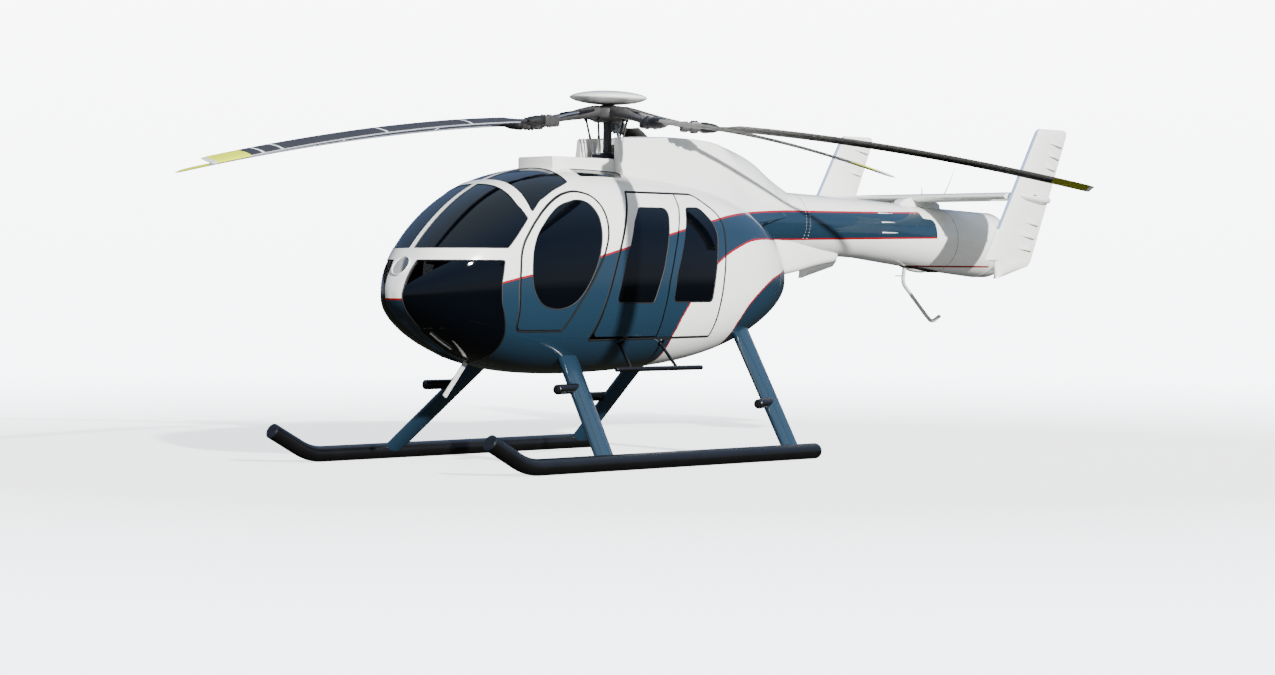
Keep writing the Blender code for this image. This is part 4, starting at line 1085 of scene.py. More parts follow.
def dots(name, rows, r, mat, body="airframe"):
    """Low domed rivet heads: rows of (point, outward direction)."""
    v, f = [], []
    for p, d in rows:
        q = Vector(d).to_track_quat("Z", "Y").to_matrix()
        p = Vector(p)
        b = len(v)
        n = 8
        for rr, h in ((1.0, 0.0), (0.7, 0.32)):
            v += [p + q @ Vector((r * rr * math.cos(2 * math.pi * k / n), r * rr * math.sin(2 * math.pi * k / n), r * h))
                  for k in range(n)]
        v.append(p + q @ Vector((0, 0, r * 0.45)))
        for k in range(n):
            j = (k + 1) % n
            f += [(b + k, b + j, b + n + j, b + n + k), (b + n + k, b + n + j, b + 2 * n)]
        f.append(tuple(b + k for k in range(n))[::-1])
    return place(smooth(new_object(name, v, f, mat), 60), body)


rivets = []
for y in (2.275, 2.325, 4.395, 4.445):
    z, r = boom_at(y)
    for k in range(56):
        a = 2 * math.pi * k / 56
        d = Vector((math.cos(a), 0, math.sin(a)))
        rivets.append((Vector((0, y, z)) + d * r, d))
dots("boom_rivets", rivets, 0.0035, white)

# turning thruster at the end
prof = ((5.0003, 1.812, 0.296), (5.006, 1.812, 0.3005), (5.035, 1.810, 0.306), (5.05, 1.810, 0.3065), (5.12, 1.808, 0.3055), (5.20, 1.805, 0.303),
        (5.232, 1.805, 0.296), (5.258, 1.804, 0.286), (5.30, 1.803, 0.270), (5.335, 1.802, 0.245), (5.362, 1.801, 0.205),
        (5.384, 1.800, 0.150), (5.396, 1.800, 0.095), (5.3995, 1.800, 0.040))
cone = smooth(loft("thruster_shell", [ring_y(y, z, r) for y, z, r in prof], white), 40)
place(cone, "airframe", ("thruster_cone",))
seams = [loft("seam", [ring_y(y - 0.002, 1.809, r), ring_y(y + 0.002, 1.809, r)], rubber) for y, r in ((5.052, 0.3070), (5.205, 0.3034))]
# outlet slots round the drum on the port and starboard sides
for sx in (1, -1):
    for k in range(5):
        y = 5.075 + k * 0.027
        r = 0.3064 - 0.0003 * k
        arc = [Vector((sx * r * math.cos(a), y, 1.808 + r * math.sin(a))) for a in np.linspace(-0.9, 0.15, 16)]
        seams.append(tube("slot", arc, 0.0035, 6, mat=rubber))
place(smooth(join("thruster_seams", seams)), "airframe")

# exhaust fairing under the boom root
EXHAUST = ((1.45, 0.200, 1.865, 1.458), (1.75, 0.206, 1.865, 1.478), (2.05, 0.205, 1.865, 1.507), (2.30, 0.184, 1.853, 1.540),
           (2.60, 0.146, 1.835, 1.590), (2.90, 0.108, 1.805, 1.627))
rings = []
for y, w, z1, z0 in spline(EXHAUST, 30):
    pts = rounded(((-w, z1, 0), (w, z1, 0), (w * 0.93, z0, 0.075), (-w * 0.93, z0, 0.075)), 8)
    rings.append([Vector((x, y, z)) for x, z in pts])
exhaust = loft("exhaust_shell", rings, white)
bevel(exhaust, 0.004, 2, 60)
place(exhaust, "airframe", ("exhaust_fairing",))


# ------------------------------------------------------------ stabiliser, fins and tail fittings
def airfoil(chord, thick, n=20):
    xs = [(1 - math.cos(math.pi * k / n)) / 2 for k in range(n + 1)]
    half = [5.0 * thick * (0.2969 * math.sqrt(x) - 0.126 * x - 0.3516 * x * x + 0.2843 * x ** 3 - 0.1036 * x ** 4)
            for x in xs]
    up = [(x * chord, h) for x, h in zip(xs, half)]
    return up[:-1] + [(chord, 0.0)] + [(a, -h) for a, h in reversed(up[1:-1])]


STAB_Y0, STAB_Y1, STAB_Z, STAB_T = 4.020, 4.620, 2.226, 0.078
sec = airfoil(STAB_Y1 - STAB_Y0, STAB_T)
stab = loft("stabiliser_shell", [[Vector((x, STAB_Y0 + a, STAB_Z + b)) for a, b in sec]
                                 for x in np.linspace(-1.094, 1.094, 15)], white)
smooth(stab, 50)
place(stab, "airframe", ("stabiliser",))
# saddle on the boom
rings = []
for y, w, z0, z1 in spline(((3.850, 0.020, 2.080, 2.120), (3.885, 0.050, 2.06, 2.180), (3.96, 0.062, 2.05, 2.218), (4.10, 0.066, 2.04, 2.232),
                            (4.25, 0.064, 2.04, 2.222), (4.38, 0.054, 2.03, 2.205), (4.47, 0.036, 2.03, 2.185), (4.50, 0.020, 2.03, 2.17)), 30):
    pts = rounded(((-w * 1.25, z0, 0), (w * 1.25, z0, 0), (w, z1, 0.024), (-w, z1, 0.024)), 6)
    rings.append([Vector((x, y, z)) for x, z in pts])
place(smooth(loft("stabiliser_saddle", rings, white), 40), "airframe")


def span(z, rows):
    for (z0, a0), (z1, a1) in zip(rows, rows[1:]):
        if z <= z1:
            return a0 + (z - z0) / (z1 - z0) * (a1 - a0)
    return rows[-1][1]


FIN_LE = ((1.488, 3.853), (1.645, 3.838), (1.652, 3.704), (1.700, 3.728), (1.912, 3.862), (2.790, 4.434), (2.825, 4.462), (2.843, 4.500))
FIN_TE = ((1.488, 3.868), (1.606, 4.370), (1.650, 4.394), (2.770, 4.930), (2.820, 4.946), (2.843, 4.900))
fin_look = Look("paint_fin")
_, fin_y, fin_z = fin_look.xyz()
behind_le = fin_look.math("SUBTRACT", fin_y, fin_look.curve(fin_z, FIN_LE[3:], 1.70, 2.843))
le_band = fin_look.math("MULTIPLY", fin_look.math("LESS_THAN", behind_le, 0.024), fin_look.math("GREATER_THAN", fin_z, 1.93))
fin_col = fin_look.mix(le_band, fin_look.vary(WHITE, 1.6, 0.12, 4.0, 0.92), (0.20, 0.27, 0.42, 1))
fin_look.put(fin_look.b.inputs["Base Color"], fin_col)
gloss(fin_look)
levels = [1.489, 1.52, 1.56, 1.60, 1.644, 1.6525, 1.68, 1.72] + list(np.linspace(1.80, 2.76, 22)) + [2.79, 2.81, 2.825, 2.835, 2.8425]
RIBS = (((4.646, 2.737), (4.851, 2.699)), ((4.616, 2.628), (4.805, 2.589)), ((4.571, 2.518), (4.743, 2.487)),
        ((4.283, 2.016), (4.483, 1.984)), ((4.207, 1.899), (4.423, 1.866)), ((4.163, 1.782), (4.378, 1.757)))
for side, sx in SIDES:
    rings = []
    for z in levels:
        a, b = span(z, FIN_LE), span(z, FIN_TE)
        thick = FIN_T * (1.0 if z < 2.80 else max(0.25, (2.846 - z) / 0.046))
        s = airfoil(b - a, thick, 24)
        rings.append([Vector((sx * FIN_X + h, a + u, z)) for u, h in s])
    fin = smooth(loft("fin_shell_" + side, rings, fin_look), 40)
    place(fin, "airframe", ("fin_" + side,))
    ribs = []
    for (ya, za), (yb, zb) in RIBS:
        for face in (1, -1):
            rings = []
            for t in np.linspace(0, 1, 12):
                y, z = ya + (yb - ya) * t, za + (zb - za) * t
                lead, trail = span(z, FIN_LE), span(z, FIN_TE)
                c = min(0.999, max(0.0, (y - lead) / (trail - lead)))
                half = 5.0 * FIN_T * (0.2969 * math.sqrt(c) - 0.126 * c - 0.3516 * c * c + 0.2843 * c ** 3 - 0.1036 * c ** 4)
                rise = 0.0015 + 0.0225 * math.sin(math.pi / 2 * min(1.0, t * 1.25)) * (1.0 if t < 0.93 else 0.75)
                rings.append([Vector((sx * FIN_X + face * x, y, z + h)) for x, h in
                              ((half - 0.004, 0.034), (half + 0.001, 0.034), (half + rise * 0.55, 0.010), (half + rise, -0.010),
                               (half + rise, -0.019), (half + rise * 0.8, -0.024), (half - 0.004, -0.024))])
            ribs.append(loft("rib", rings, white))
    place(smooth(join("fin_ribs_" + side, ribs), 30), "airframe")
    # lens-shaped plate over the stabiliser's end, with a small slot
    rings = []
    for t in np.linspace(0.0, 1.0, 27):
        u = max(0.03, (1 - abs(2 * t - 1) ** 2.6) ** 0.5)
        y, z = 4.185 + 0.480 * t, 2.238 - 0.044 * t
        rings.append([Vector((sx * (FIN_X + 0.010) + sx * 0.062 * u * math.cos(a) * (1 if abs(math.sin(a)) < 0.8 else 0.9), y, z + 0.046 * u * math.sin(a)))
                      for a in (2 * math.pi * k / 28 for k in range(28))])
    lens = smooth(loft("fin_lens_" + side, rings, white), 50)
    place(lens, "airframe")
    slot = tube("fin_lens_slot_" + side, [(sx * 1.1900, 4.335, 2.240), (sx * 1.1945, 4.378, 2.234)], 0.0075, 10, 0.6, rubber)
    place(smooth(slot), "airframe")

# tail skid and its shallow root fairing
path = bent([(0, 4.00, 1.62), (0, 3.975, 1.470), (0, 3.995, 1.425), (0, 4.330, 1.145), (0, 4.395, 1.098), (0, 4.440, 1.098),
             (0, 4.530, 1.140)], 0.05, 6)
tail = smooth(tube("tail_skid_bar", path, 0.0172, 20, mat=rod_grey))
place(tail, "airframe", ("tail_skid",))
plates = []
for name_, y0, y1, w, up_, down_, mat_ in (("plate", 3.930, 4.500, 0.075, 0.002, -0.016, black), ("blister", 3.990, 4.330, 0.052, 0.000, -0.034, white)):
    rings = []
    for t in np.linspace(0.0, 1.0, 24):
        u = max(0.04, (1 - abs(2 * t - 1) ** 2.0) ** 0.6)
        y = y0 + (y1 - y0) * t
        zc, r = boom_at(y)
        rings.append([Vector((w * u * math.cos(a), y, zc - r + (up_ + 0.004 if math.sin(a) > 0 else down_ * u * abs(math.sin(a)))))
                      for a in (2 * math.pi * k / 32 for k in range(32))])
    plates.append(loft(name_, rings, mat_))
place(smooth(join("tail_skid_root", plates), 45), "airframe")
pin = tube("tail_skid_pin", [(0, 3.865, 1.512), (0, 3.960, 1.512)], 0.0055, 10, mat=dark_metal)
place(smooth(pin), "airframe")
bolts = []
for y in (4.06, 4.26):
    zc, r = boom_at(y)
    bolts.append((Vector((0.0, y, zc - r - 0.030)), Vector((0, 0, -1))))
dots("tail_skid_bolts", bolts, 0.008, dark_metal)

# small antennas on the tail, and louvres on the boom
rod = tube("tail_antenna", [(0.0, 4.252, 2.235), (0.0, 4.254, 2.342)], [0.006, 0.003], 12, mat=dark_metal)
place(smooth(rod), "airframe")
whip = tube("tail_whip", [(0.0, 4.560, 2.232), (0.0, 4.640, 2.330), (0.0, 4.755, 2.512)], [0.006, 0.004, 0.002], 10, mat=steel)
place(smooth(whip), "airframe")
vents = []
for sx in (1, -1):
    for y0, y1, z in ((3.316, 3.540, 2.072), (3.330, 3.520, 1.990), (3.332, 3.560, 1.897)):
        rings = []
        for t in np.linspace(0, 1, 12):
            y = y0 + (y1 - y0) * t
            zc, r = boom_at(y)
            a = math.asin((z - zc) / r)
            bulge = 0.0045 * (1 - t) ** 0.6 if t > 0.06 else 0.001
            w = 0.0055 * (1 - t) ** 0.5 + 0.0008
            nrm = Vector((sx * math.cos(a), 0, math.sin(a)))
            tng = Vector((-sx * math.sin(a), 0, math.cos(a)))
            base = Vector((0, y, zc)) + nrm * (r - 0.003)
            rings.append([base + nrm * (0.003 + bulge) * max(0, math.sin(b)) + tng * w * math.cos(b)
                          for b in (2 * math.pi * k / 12 for k in range(12))])
        vents.append(loft("vent", rings, white))
place(smooth(join("boom_louvres", vents), 50), "airframe")

# ------------------------------------------------------------ nose details
# landing light on the centre strip
lo_y, hi_y = -2.36, -2.10
for _ in range(40):
    mid = (lo_y + hi_y) / 2
    if level(np.array([[0.0, mid, 1.565]]))[0] > 1:
        lo_y = mid
    else:
        hi_y = mid
surf = Vector((0, hi_y, 1.565))
n = Vector(normals([surf])[0])
surf = surf + n * 0.001
ring = turned("lamp_ring", ((0.0, -0.020), (0.0885, -0.020), (0.0885, 0.0055), (0.0860, 0.0085), (0.0830, 0.0085), (0.0800, 0.0050), (0.0790, -0.0020), (0, -0.0020)), 64, white)
aim(ring, surf, n)
lens = turned("lamp_lens", ((0, -0.0015), (0.0785, -0.0015), (0.0785, 0.0015), (0.065, 0.0035), (0.045, 0.0050), (0.020, 0.0058), (0, 0.0060)), 64, lamp_glass)
aim(lens, surf, n)
place(smooth(join("landing_light", [ring, lens]), 40), "airframe")

# wire cutter blade under the nose and its rod up the centre strip
bar = prism("wire_cutter_blade", rounded(((-1.530, 0.850, 0), (-1.572, 0.860, 0), (-1.833, 0.562, 0.010), (-1.803, 0.538, 0.010)), 5), -0.009, 0.009, mat=rod_grey)
bevel(bar, 0.004, 3, 40)
shoe = prism("shoe", rounded(((-1.500, 0.870, 0), (-1.612, 0.870, 0.006), (-1.612, 0.835, 0.012), (-1.585, 0.805, 0.012), (-1.520, 0.820, 0.012))), -0.020, 0.020, mat=dark_metal)
bevel(shoe, 0.003, 2, 40)
bar = join("wire_cutter_blade", [bar, shoe])
smooth(bar, 35)
place(bar, "airframe", ("wire_cutter",))
rod_pts = []
for y, z in ((-2.085, 1.085), (-2.02, 1.02), (-1.95, 0.965), (-1.88, 0.92)):
    x = 0.135
    q = np.array([[x, y, z]])
    for _ in range(40):
        lv = level(q)[0]
        q = q + normals(q) * (1 - lv) * 0.4
    rod_pts.append(Vector(q[0]) + Vector(normals(q)[0]) * 0.006)
place(smooth(tube("wire_cutter_rod", rod_pts, 0.007, 12, mat=steel)), "airframe")

# ------------------------------------------------------------ landing gear
LEG_FLAT, LEG_R = 0.48, 0.100
SKID_PATH = ((-2.523, 0.266), (-2.165, 0.076), (-2.100, 0.064), (1.262, 0.064))
LEGS = (("leg_front", -1.267, (0.400, -0.890, 0.905), 0.66, (0.745, -1.330, 0.615)),
        ("leg_rear", 0.945, (0.330, 1.215, 1.180), 0.36, (1.005, 0.760, 0.455)))
for side, sx in SIDES:
    pts = bent([(sx * SKID_X, y, z) for y, z in ((-2.523, 0.266), (-2.130, 0.064), (1.262, 0.064))], 0.13, 14)
    pts = [pts[0]] + [pts[0].lerp(pts[1], t) for t in (0.01, 0.3, 0.6)] + pts[1:-1]
    pts += [pts[-1].lerp(Vector((sx * SKID_X, 1.262, 0.064)), t) for t in (0.25, 0.5, 0.75, 0.96)]
    end = Vector((sx * SKID_X, 1.262, 0.064))
    last = [(0.035, 1.0), (0.020, 0.97), (0.009, 0.88), (0.003, 0.74), (0.0, 0.55)]
    pts = pts[:-1] + [end - Vector((0, d, 0)) for d, _ in last]
    radii = [SKID_R * 0.955, SKID_R] + [SKID_R] * (len(pts) - 2 - len(last)) + [SKID_R * s for _, s in last]
    skid = smooth(tube("skid_tube_" + side, pts, radii, 40, mat=black), 40)
    place(skid, "airframe", ("skid_" + side,))
    # wear shoes under the tube and end plug
    shoes = []
    for ya, yb in ((-2.02, -1.42), (-1.05, -0.35), (-0.10, 0.70), (0.80, 1.18)):
        rings = []
        for y in np.linspace(ya, yb, 10):
            rings.append([Vector((sx * SKID_X + (SKID_R + h) * math.sin(a), y, SKID_R - (SKID_R + h) * math.cos(a)))
                          for a, h in [(b, -0.0005) for b in np.linspace(-0.5, 0.5, 8)] + [(b, 0.0) for b in np.linspace(0.5, -0.5, 8)]])
        shoes.append(loft("shoe", rings, dark_metal))
    plug = tube("plug", [(sx * SKID_X, -2.5236, 0.2663), (sx * SKID_X, -2.5186, 0.2636)], [SKID_R * 0.80, SKID_R * 0.86], 36, mat=dark_metal)
    place(smooth(join("skid_fittings_" + side, shoes + [plug]), 40), "airframe")
    for node, foot_y, top, share, peg in LEGS:
        foot = Vector((sx * SKID_X, foot_y, SKID_R * 0.9))
        head = Vector((sx * top[0], top[1], top[2]))
        d = (head - foot).normalized()
        # foot wraps the tube, top is a rounded cap
        pts = [foot] + [foot.lerp(head, t) for t in np.linspace(0.04, 0.93, 24)]
        rr = [LEG_R * 0.92 + LEG_R * 0.08 * t for t in np.linspace(0, 1, len(pts))]
        for k in range(1, 8):
            s = k / 7
            pts.append(foot.lerp(head, 0.93) + d * 0.075 * math.sin(math.pi / 2 * s))
            rr.append(LEG_R * max(0.03, math.cos(math.pi / 2 * s)))
        leg = smooth(tube("%s_strut_%s" % (node, side), pts, rr, 40, LEG_FLAT, blue), 60)
        place(leg, "airframe", ("%s_%s" % (node, side),))
        start = foot.lerp(head, share)
        tip = Vector((sx * peg[0], peg[1], peg[2]))
        dd = (tip - start).normalized()
        pts = [start, tip - dd * 0.012, tip - dd * 0.004, tip]
        peg_ob = smooth(tube("peg", pts, [0.040, 0.040, 0.037, 0.030], 28, mat=black), 40)
        face = smooth(tube("peg_face", [tip - dd * 0.002, tip + dd * 0.0015], [0.022, 0.020], 24, mat=dark_metal), 40)
        place(join("%s_peg_%s" % (node, side), [peg_ob, face]), "airframe")
    # boarding step with ribbed tread
    bar_path, bar_r = capped([(sx * 0.78, -0.700, 0.758), (sx * 0.78, -0.2, 0.758), (sx * 0.78, 0.325, 0.758)], 0.0195, 0.5)
    step = [tube("bar", bar_path, bar_r, 20, mat=black)]
    for y_root, y_bar in ((-0.440, -0.520), (0.050, 0.020)):
        root = side_point(y_root, 0.965, sx) + Vector((-sx * 0.02, 0, 0))
        step.append(tube("strut", [root, (sx * 0.78, y_bar, 0.760)], 0.0135, 16, mat=black))
        foot_n = Vector(normals([root])[0])
        step.append(aim(turned("flange", ((0, -0.012), (0.034, -0.012), (0.034, 0.012), (0.030, 0.017), (0.016, 0.019), (0, 0.019)), 28, black),
                        side_point(y_root, 0.965, sx) - foot_n * 0.010, foot_n))
    for y in np.linspace(-0.66, 0.28, 40):
        step.append(tube("tread", [(sx * 0.78 + 0.0201 * math.sin(a), y, 0.758 + 0.0201 * math.cos(a)) for a in np.linspace(-0.9, 0.9, 7)], 0.0015, 5, mat=rubber))
    place(smooth(join("boarding_step_" + side, step), 40), "airframe", ("step_" + side,))

# ------------------------------------------------------------ cabin
for node, k in (("cabin_floor", carpet), ("rear_bulkhead", inside), ("engine_block", engine_mat)):
    ob = frame["nodes"][node]
    for i in range(max(1, len(ob.material_slots))):
        if not ob.material_slots:
            ob.data.materials.append(k.mat)
        ob.material_slots[i].material = k.mat
ob = frame["nodes"]["instrument_console"]
for s in ob.material_slots:
    s.material = panel.mat


PADS = {}


def pad_mesh(sx_, sy_, sz_, channels, cap, voxel=0.009):
    """Pad blown up as cloth under pressure; its channels are sewn in after the swelling."""
    n = 30
    v, f = [], []
    for top in (1, 0):
        for i in range(n + 1):
            for j in range(n + 1):
                u, w = -math.cos(math.pi * i / n), -math.cos(math.pi * j / n)
                edge = (max(0.0, 1 - abs(u) ** 6) * max(0.0, 1 - abs(w) ** 6)) ** 0.5
                v.append(Vector((u * (sx_ / 2 - 0.004), w * (sy_ / 2 - 0.004), (0.40 if top else -0.36) * edge * sz_)))
    m_ = (n + 1) * (n + 1)
    for i in range(n):
        for j in range(n):
            q = (i * (n + 1) + j, (i + 1) * (n + 1) + j, (i + 1) * (n + 1) + j + 1, i * (n + 1) + j + 1)
            f.append(q)
            f.append(tuple(m_ + k for k in reversed(q)))
    ob = new_object("pad", v, f, leather)
    bm = bmesh.new()
    bm.from_mesh(ob.data)
    bmesh.ops.remove_doubles(bm, verts=bm.verts, dist=1e-4)
    bmesh.ops.recalc_face_normals(bm, faces=bm.faces)
    bm.to_mesh(ob.data)
    bm.free()
    rm = ob.modifiers.new("remesh", "REMESH")
    rm.mode = "VOXEL"
    rm.voxel_size = voxel
    me = bpy.data.meshes.new_from_object(ob.evaluated_get(bpy.context.evaluated_depsgraph_get()))
    ob.modifiers.clear()
    ob.data = me

    def points(mesh):
        out = np.empty(len(mesh.vertices) * 3)
        mesh.vertices.foreach_get("co", out)
        return out.reshape(-1, 3)

    co = points(me)
    cloth = ob.modifiers.new("cloth", "CLOTH")
    cloth.settings.quality = 5
    cloth.settings.use_pressure = True
    cloth.settings.uniform_pressure_force = 4.0
    cloth.settings.effector_weights.gravity = 0.0
    cloth.point_cache.frame_start, cloth.point_cache.frame_end = 1, 20
    for fr in range(1, 21):
        bpy.context.scene.frame_set(fr)
    moved = points(ob.evaluated_get(bpy.context.evaluated_depsgraph_get()).data) - co
    moved -= moved.mean(0)
    far = np.linalg.norm(moved, axis=1)
    co = co + moved * (np.minimum(far, cap) / np.maximum(far, 1e-9))[:, None]
    ob.modifiers.clear()
    bpy.context.scene.frame_set(1)
    t = (co[:, 0] / sx_ + 0.5) * channels
    near = np.abs(t - np.round(t)) * sx_ / channels
    inner = (np.round(t) > 0.5) & (np.round(t) < channels - 0.5) & (co[:, 2] > 0)
    co[:, 2] -= 0.011 * np.exp(-(near / 0.009) ** 2) * inner * np.clip((1 - np.abs(co[:, 1]) * 2 / sy_) * 6, 0, 1)
    me.vertices.foreach_set("co", co.ravel())
    me.materials.clear()
    me.materials.append(leather.mat)
    me.update()
    bpy.data.objects.remove(ob, do_unlink=True)
    return me


def cushion(name, cx, cy, cz, sx_, sy_, sz_, tilt=0.0, channels=3):
    """Leather pad, sizes as full widths; pads of one size share one simulation."""
    key = (sx_, sy_, sz_, channels)
    if key not in PADS:
        PADS[key] = pad_mesh(sx_, sy_, sz_, channels, 0.008 if sx_ < 0.3 else 0.016)
    ob = bpy.data.objects.new(name, PADS[key].copy())
    bpy.context.scene.collection.objects.link(ob)
    ob.data.transform(Matrix.Translation((cx, cy, cz)) @ Matrix.Rotation(tilt, 4, "X"))
    smooth(ob, 80)
    return ob


FLOOR_Z = 0.930
for side, sx in SIDES:
    cx = sx * 0.24
    seat = cushion("front_seat_cushion_" + side, cx, -1.075, 1.185, 0.395, 0.44, 0.115, 0.05, 3)
    back = cushion("front_seat_back_" + side, cx, -0.825, 1.500, 0.385, 0.62, 0.095, math.radians(76), 3)
    rest = cushion("front_seat_headrest_" + side, cx, -0.735, 1.800, 0.24, 0.13, 0.085, math.radians(78), 1)
    place(seat, "airframe", ("front_seat_" + side,))
    place(back, "airframe", ())
    place(rest, "airframe", ())
    base = prism("base", rounded(((-1.24, FLOOR_Z + 0.001, 0.01), (-0.82, FLOOR_Z + 0.001, 0.01), (-0.80, 1.125, 0.03), (-1.27, 1.125, 0.03)), 4),
                 cx - 0.185, cx + 0.185, mat=inside)
    bevel(base, 0.012, 3, 40)
    shell = prism("shell", rounded(((-0.80, 1.13, 0.01), (-0.765, 1.12, 0.01), (-0.640, 1.80, 0.02), (-0.670, 1.81, 0.02)), 4),
                  cx - 0.170, cx + 0.170, mat=inside)
    bevel(shell, 0.010, 3, 40)
    belts = []
    for o in (-0.11, 0.11):
        pts = [Vector((cx + o, -0.745, 1.775)), Vector((cx + o * 0.9, -0.815, 1.72)), Vector((cx + o * 0.7, -0.905, 1.45)), Vector((cx + o * 0.3, -0.985, 1.262))]
        pts = bent(pts, 0.12, 6)
        rings = []
        for i, p in enumerate(pts):
            d = (pts[min(i + 1, len(pts) - 1)] - pts[max(i - 1, 0)]).normalized()
            s_ = Vector((1, 0, 0))
            n_ = s_.cross(d).normalized()
            rings.append([p + s_ * a * 0.022 + n_ * b * 0.0012 for a, b in ((-1, -1), (1, -1), (1, 1), (-1, 1))])
        belts.append(loft("belt", rings, webbing))
    buckle = turned("buckle", ((0, 0), (0.026, 0), (0.029, 0.004), (0.029, 0.014), (0.024, 0.018), (0, 0.019)), 28, steel)
    aim(buckle, (cx, -0.99, 1.250), (0, -0.5, 0.86))
    place(smooth(join("front_seat_frame_" + side, [base, shell] + belts + [buckle]), 35), "airframe")
bench = cushion("rear_bench_cushion", 0, 0.285, 1.190, 0.90, 0.42, 0.115, 0.04, 2)
back = cushion("rear_bench_back", 0, 0.535, 1.500, 0.89, 0.62, 0.095, math.radians(76), 2)
place(bench, "airframe", ("rear_bench",))
place(back, "airframe", ())
base = prism("base", rounded(((0.12, FLOOR_Z + 0.001, 0.01), (0.55, FLOOR_Z + 0.001, 0.01), (0.57, 1.13, 0.03), (0.09, 1.13, 0.03)), 4),
             -0.44, 0.44, mat=inside)
bevel(base, 0.012, 3, 40)
for x in (-0.22, 0.22):
    r_ = cushion("rear_headrest_" + ("port" if x > 0 else "stbd"), x, 0.635, 1.800, 0.24, 0.13, 0.085, math.radians(78), 1)
    place(r_, "airframe", ())
place(base, "airframe")
base.name = "rear_bench_base"

# instruments on the console: round dials with bezels and blank faces
dials = []
face_a, face_b = Vector((0, -1.44, 1.20)), Vector((0, -1.62, 1.56))
along = (face_b - face_a).normalized()
out = Vector((0, along.z, -along.y)).normalized()
if out.y < 0:
    out = -out
for row, xs, r in ((0.84, (-0.09, 0.0, 0.09), 0.036), (0.62, (-0.09, 0.0, 0.09), 0.036), (0.42, (-0.06, 0.06), 0.028)):
    for x in xs:
        c = face_a.lerp(face_b, row) + Vector((x, 0, 0)) + out * 0.001
        dials.append(aim(turned("dial", ((0, 0.0), (r, 0.0), (r, 0.007), (r * 0.88, 0.009), (r * 0.84, 0.004), (0, 0.004)), 32, dark_metal), c, out))
        dials.append(aim(turned("dial_glass", ((0, 0.0045), (r * 0.82, 0.0045), (r * 0.82, 0.0052), (0, 0.0056)), 32, glass), c, out))
        n0 = c + out * 0.0062
        up_ = along * r * 0.6
        dials.append(tube("needle", [n0 - up_ * 0.2, n0 + up_.lerp(Vector((r * 0.5, 0, 0)), float(rng.uniform(0.1, 0.8)))], [0.0014, 0.0006], 6, mat=white))
place(smooth(join("console_dials", dials), 40), "airframe")
# glare shield and sticks
shield = prism("shield", rounded(((-1.83, 1.585, 0.008), (-1.60, 1.565, 0.008), (-1.595, 1.585, 0.008), (-1.83, 1.605, 0.008)), 4), -0.20, 0.20, mat=panel)
bevel(shield, 0.005, 2, 40)
sticks = [shield]
for sx in (1, -1):
    pts = bent([(sx * 0.24, -1.36, FLOOR_Z), (sx * 0.24, -1.40, 1.10), (sx * 0.24, -1.35, 1.33)], 0.08, 6)
    sticks.append(tube("stick", pts, 0.011, 12, mat=dark_metal))
    p, r_ = capped([(sx * 0.24, -1.352, 1.31), (sx * 0.24, -1.345, 1.36), (sx * 0.24, -1.335, 1.42)], 0.018, 0.8)
    sticks.append(tube("grip", p, r_, 16, mat=rubber))
    for o in (-0.07, 0.07):
        sticks.append(tube("pedal_arm", [(sx * 0.24 + o, -1.585, FLOOR_Z), (sx * 0.24 + o, -1.60, 1.07)], 0.008, 10, mat=dark_metal))
        pd = box("pedal", (sx * 0.24 + o - 0.035, -1.612, 1.045), (sx * 0.24 + o + 0.035, -1.596, 1.115), dark_metal)
        sticks.append(bevel(pd, 0.005, 2))
place(smooth(join("cockpit_controls", sticks), 40), "airframe")

# ------------------------------------------------------------ rotor
H = HUB_Z - TILT_Z


def turn(k):
    return Matrix.Rotation(math.radians(72.0 * k), 4, "Z")


def droop(r):
    return -0.10 * min(1.0, max(0.0, (r - 0.15) / 0.55)) - 0.0500 * max(0.0, r - 0.50) ** 1.68 + 0.010


def place_rotor(ob, k=None, stands_for=()):
    """Turn a piece to blade k and lean it with the mast; its own coordinates stay on it as a named value."""
    own = ob.data.attributes.new("own", "FLOAT_VECTOR", "POINT")
    flat = np.zeros(len(ob.data.vertices) * 3, np.float32)
    ob.data.vertices.foreach_get("co", flat)
    own.data.foreach_set("vector", flat)
    ob.data.transform(Matrix.Translation((0, 0, TILT_Z)) @ Matrix.Rotation(math.atan(ROTOR_TILT), 4, "Y")
                      @ (turn(k) if k is not None else Matrix.Identity(4)))
    ob.location = (0, DATUM_Y, 0)
    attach(ob, "rotor")
    if stands_for:
        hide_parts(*stands_for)
    return ob


def oval(y, z, w, h, n=28, power=2.6):
    out = []
    for k in range(n):
        a = 2 * math.pi * k / n
        c, s = math.cos(a), math.sin(a)
        r = (abs(c / w) ** power + abs(s / h) ** power) ** (-1 / power)
        out.append(Vector((r * c, -y, z + r * s)))
    return out


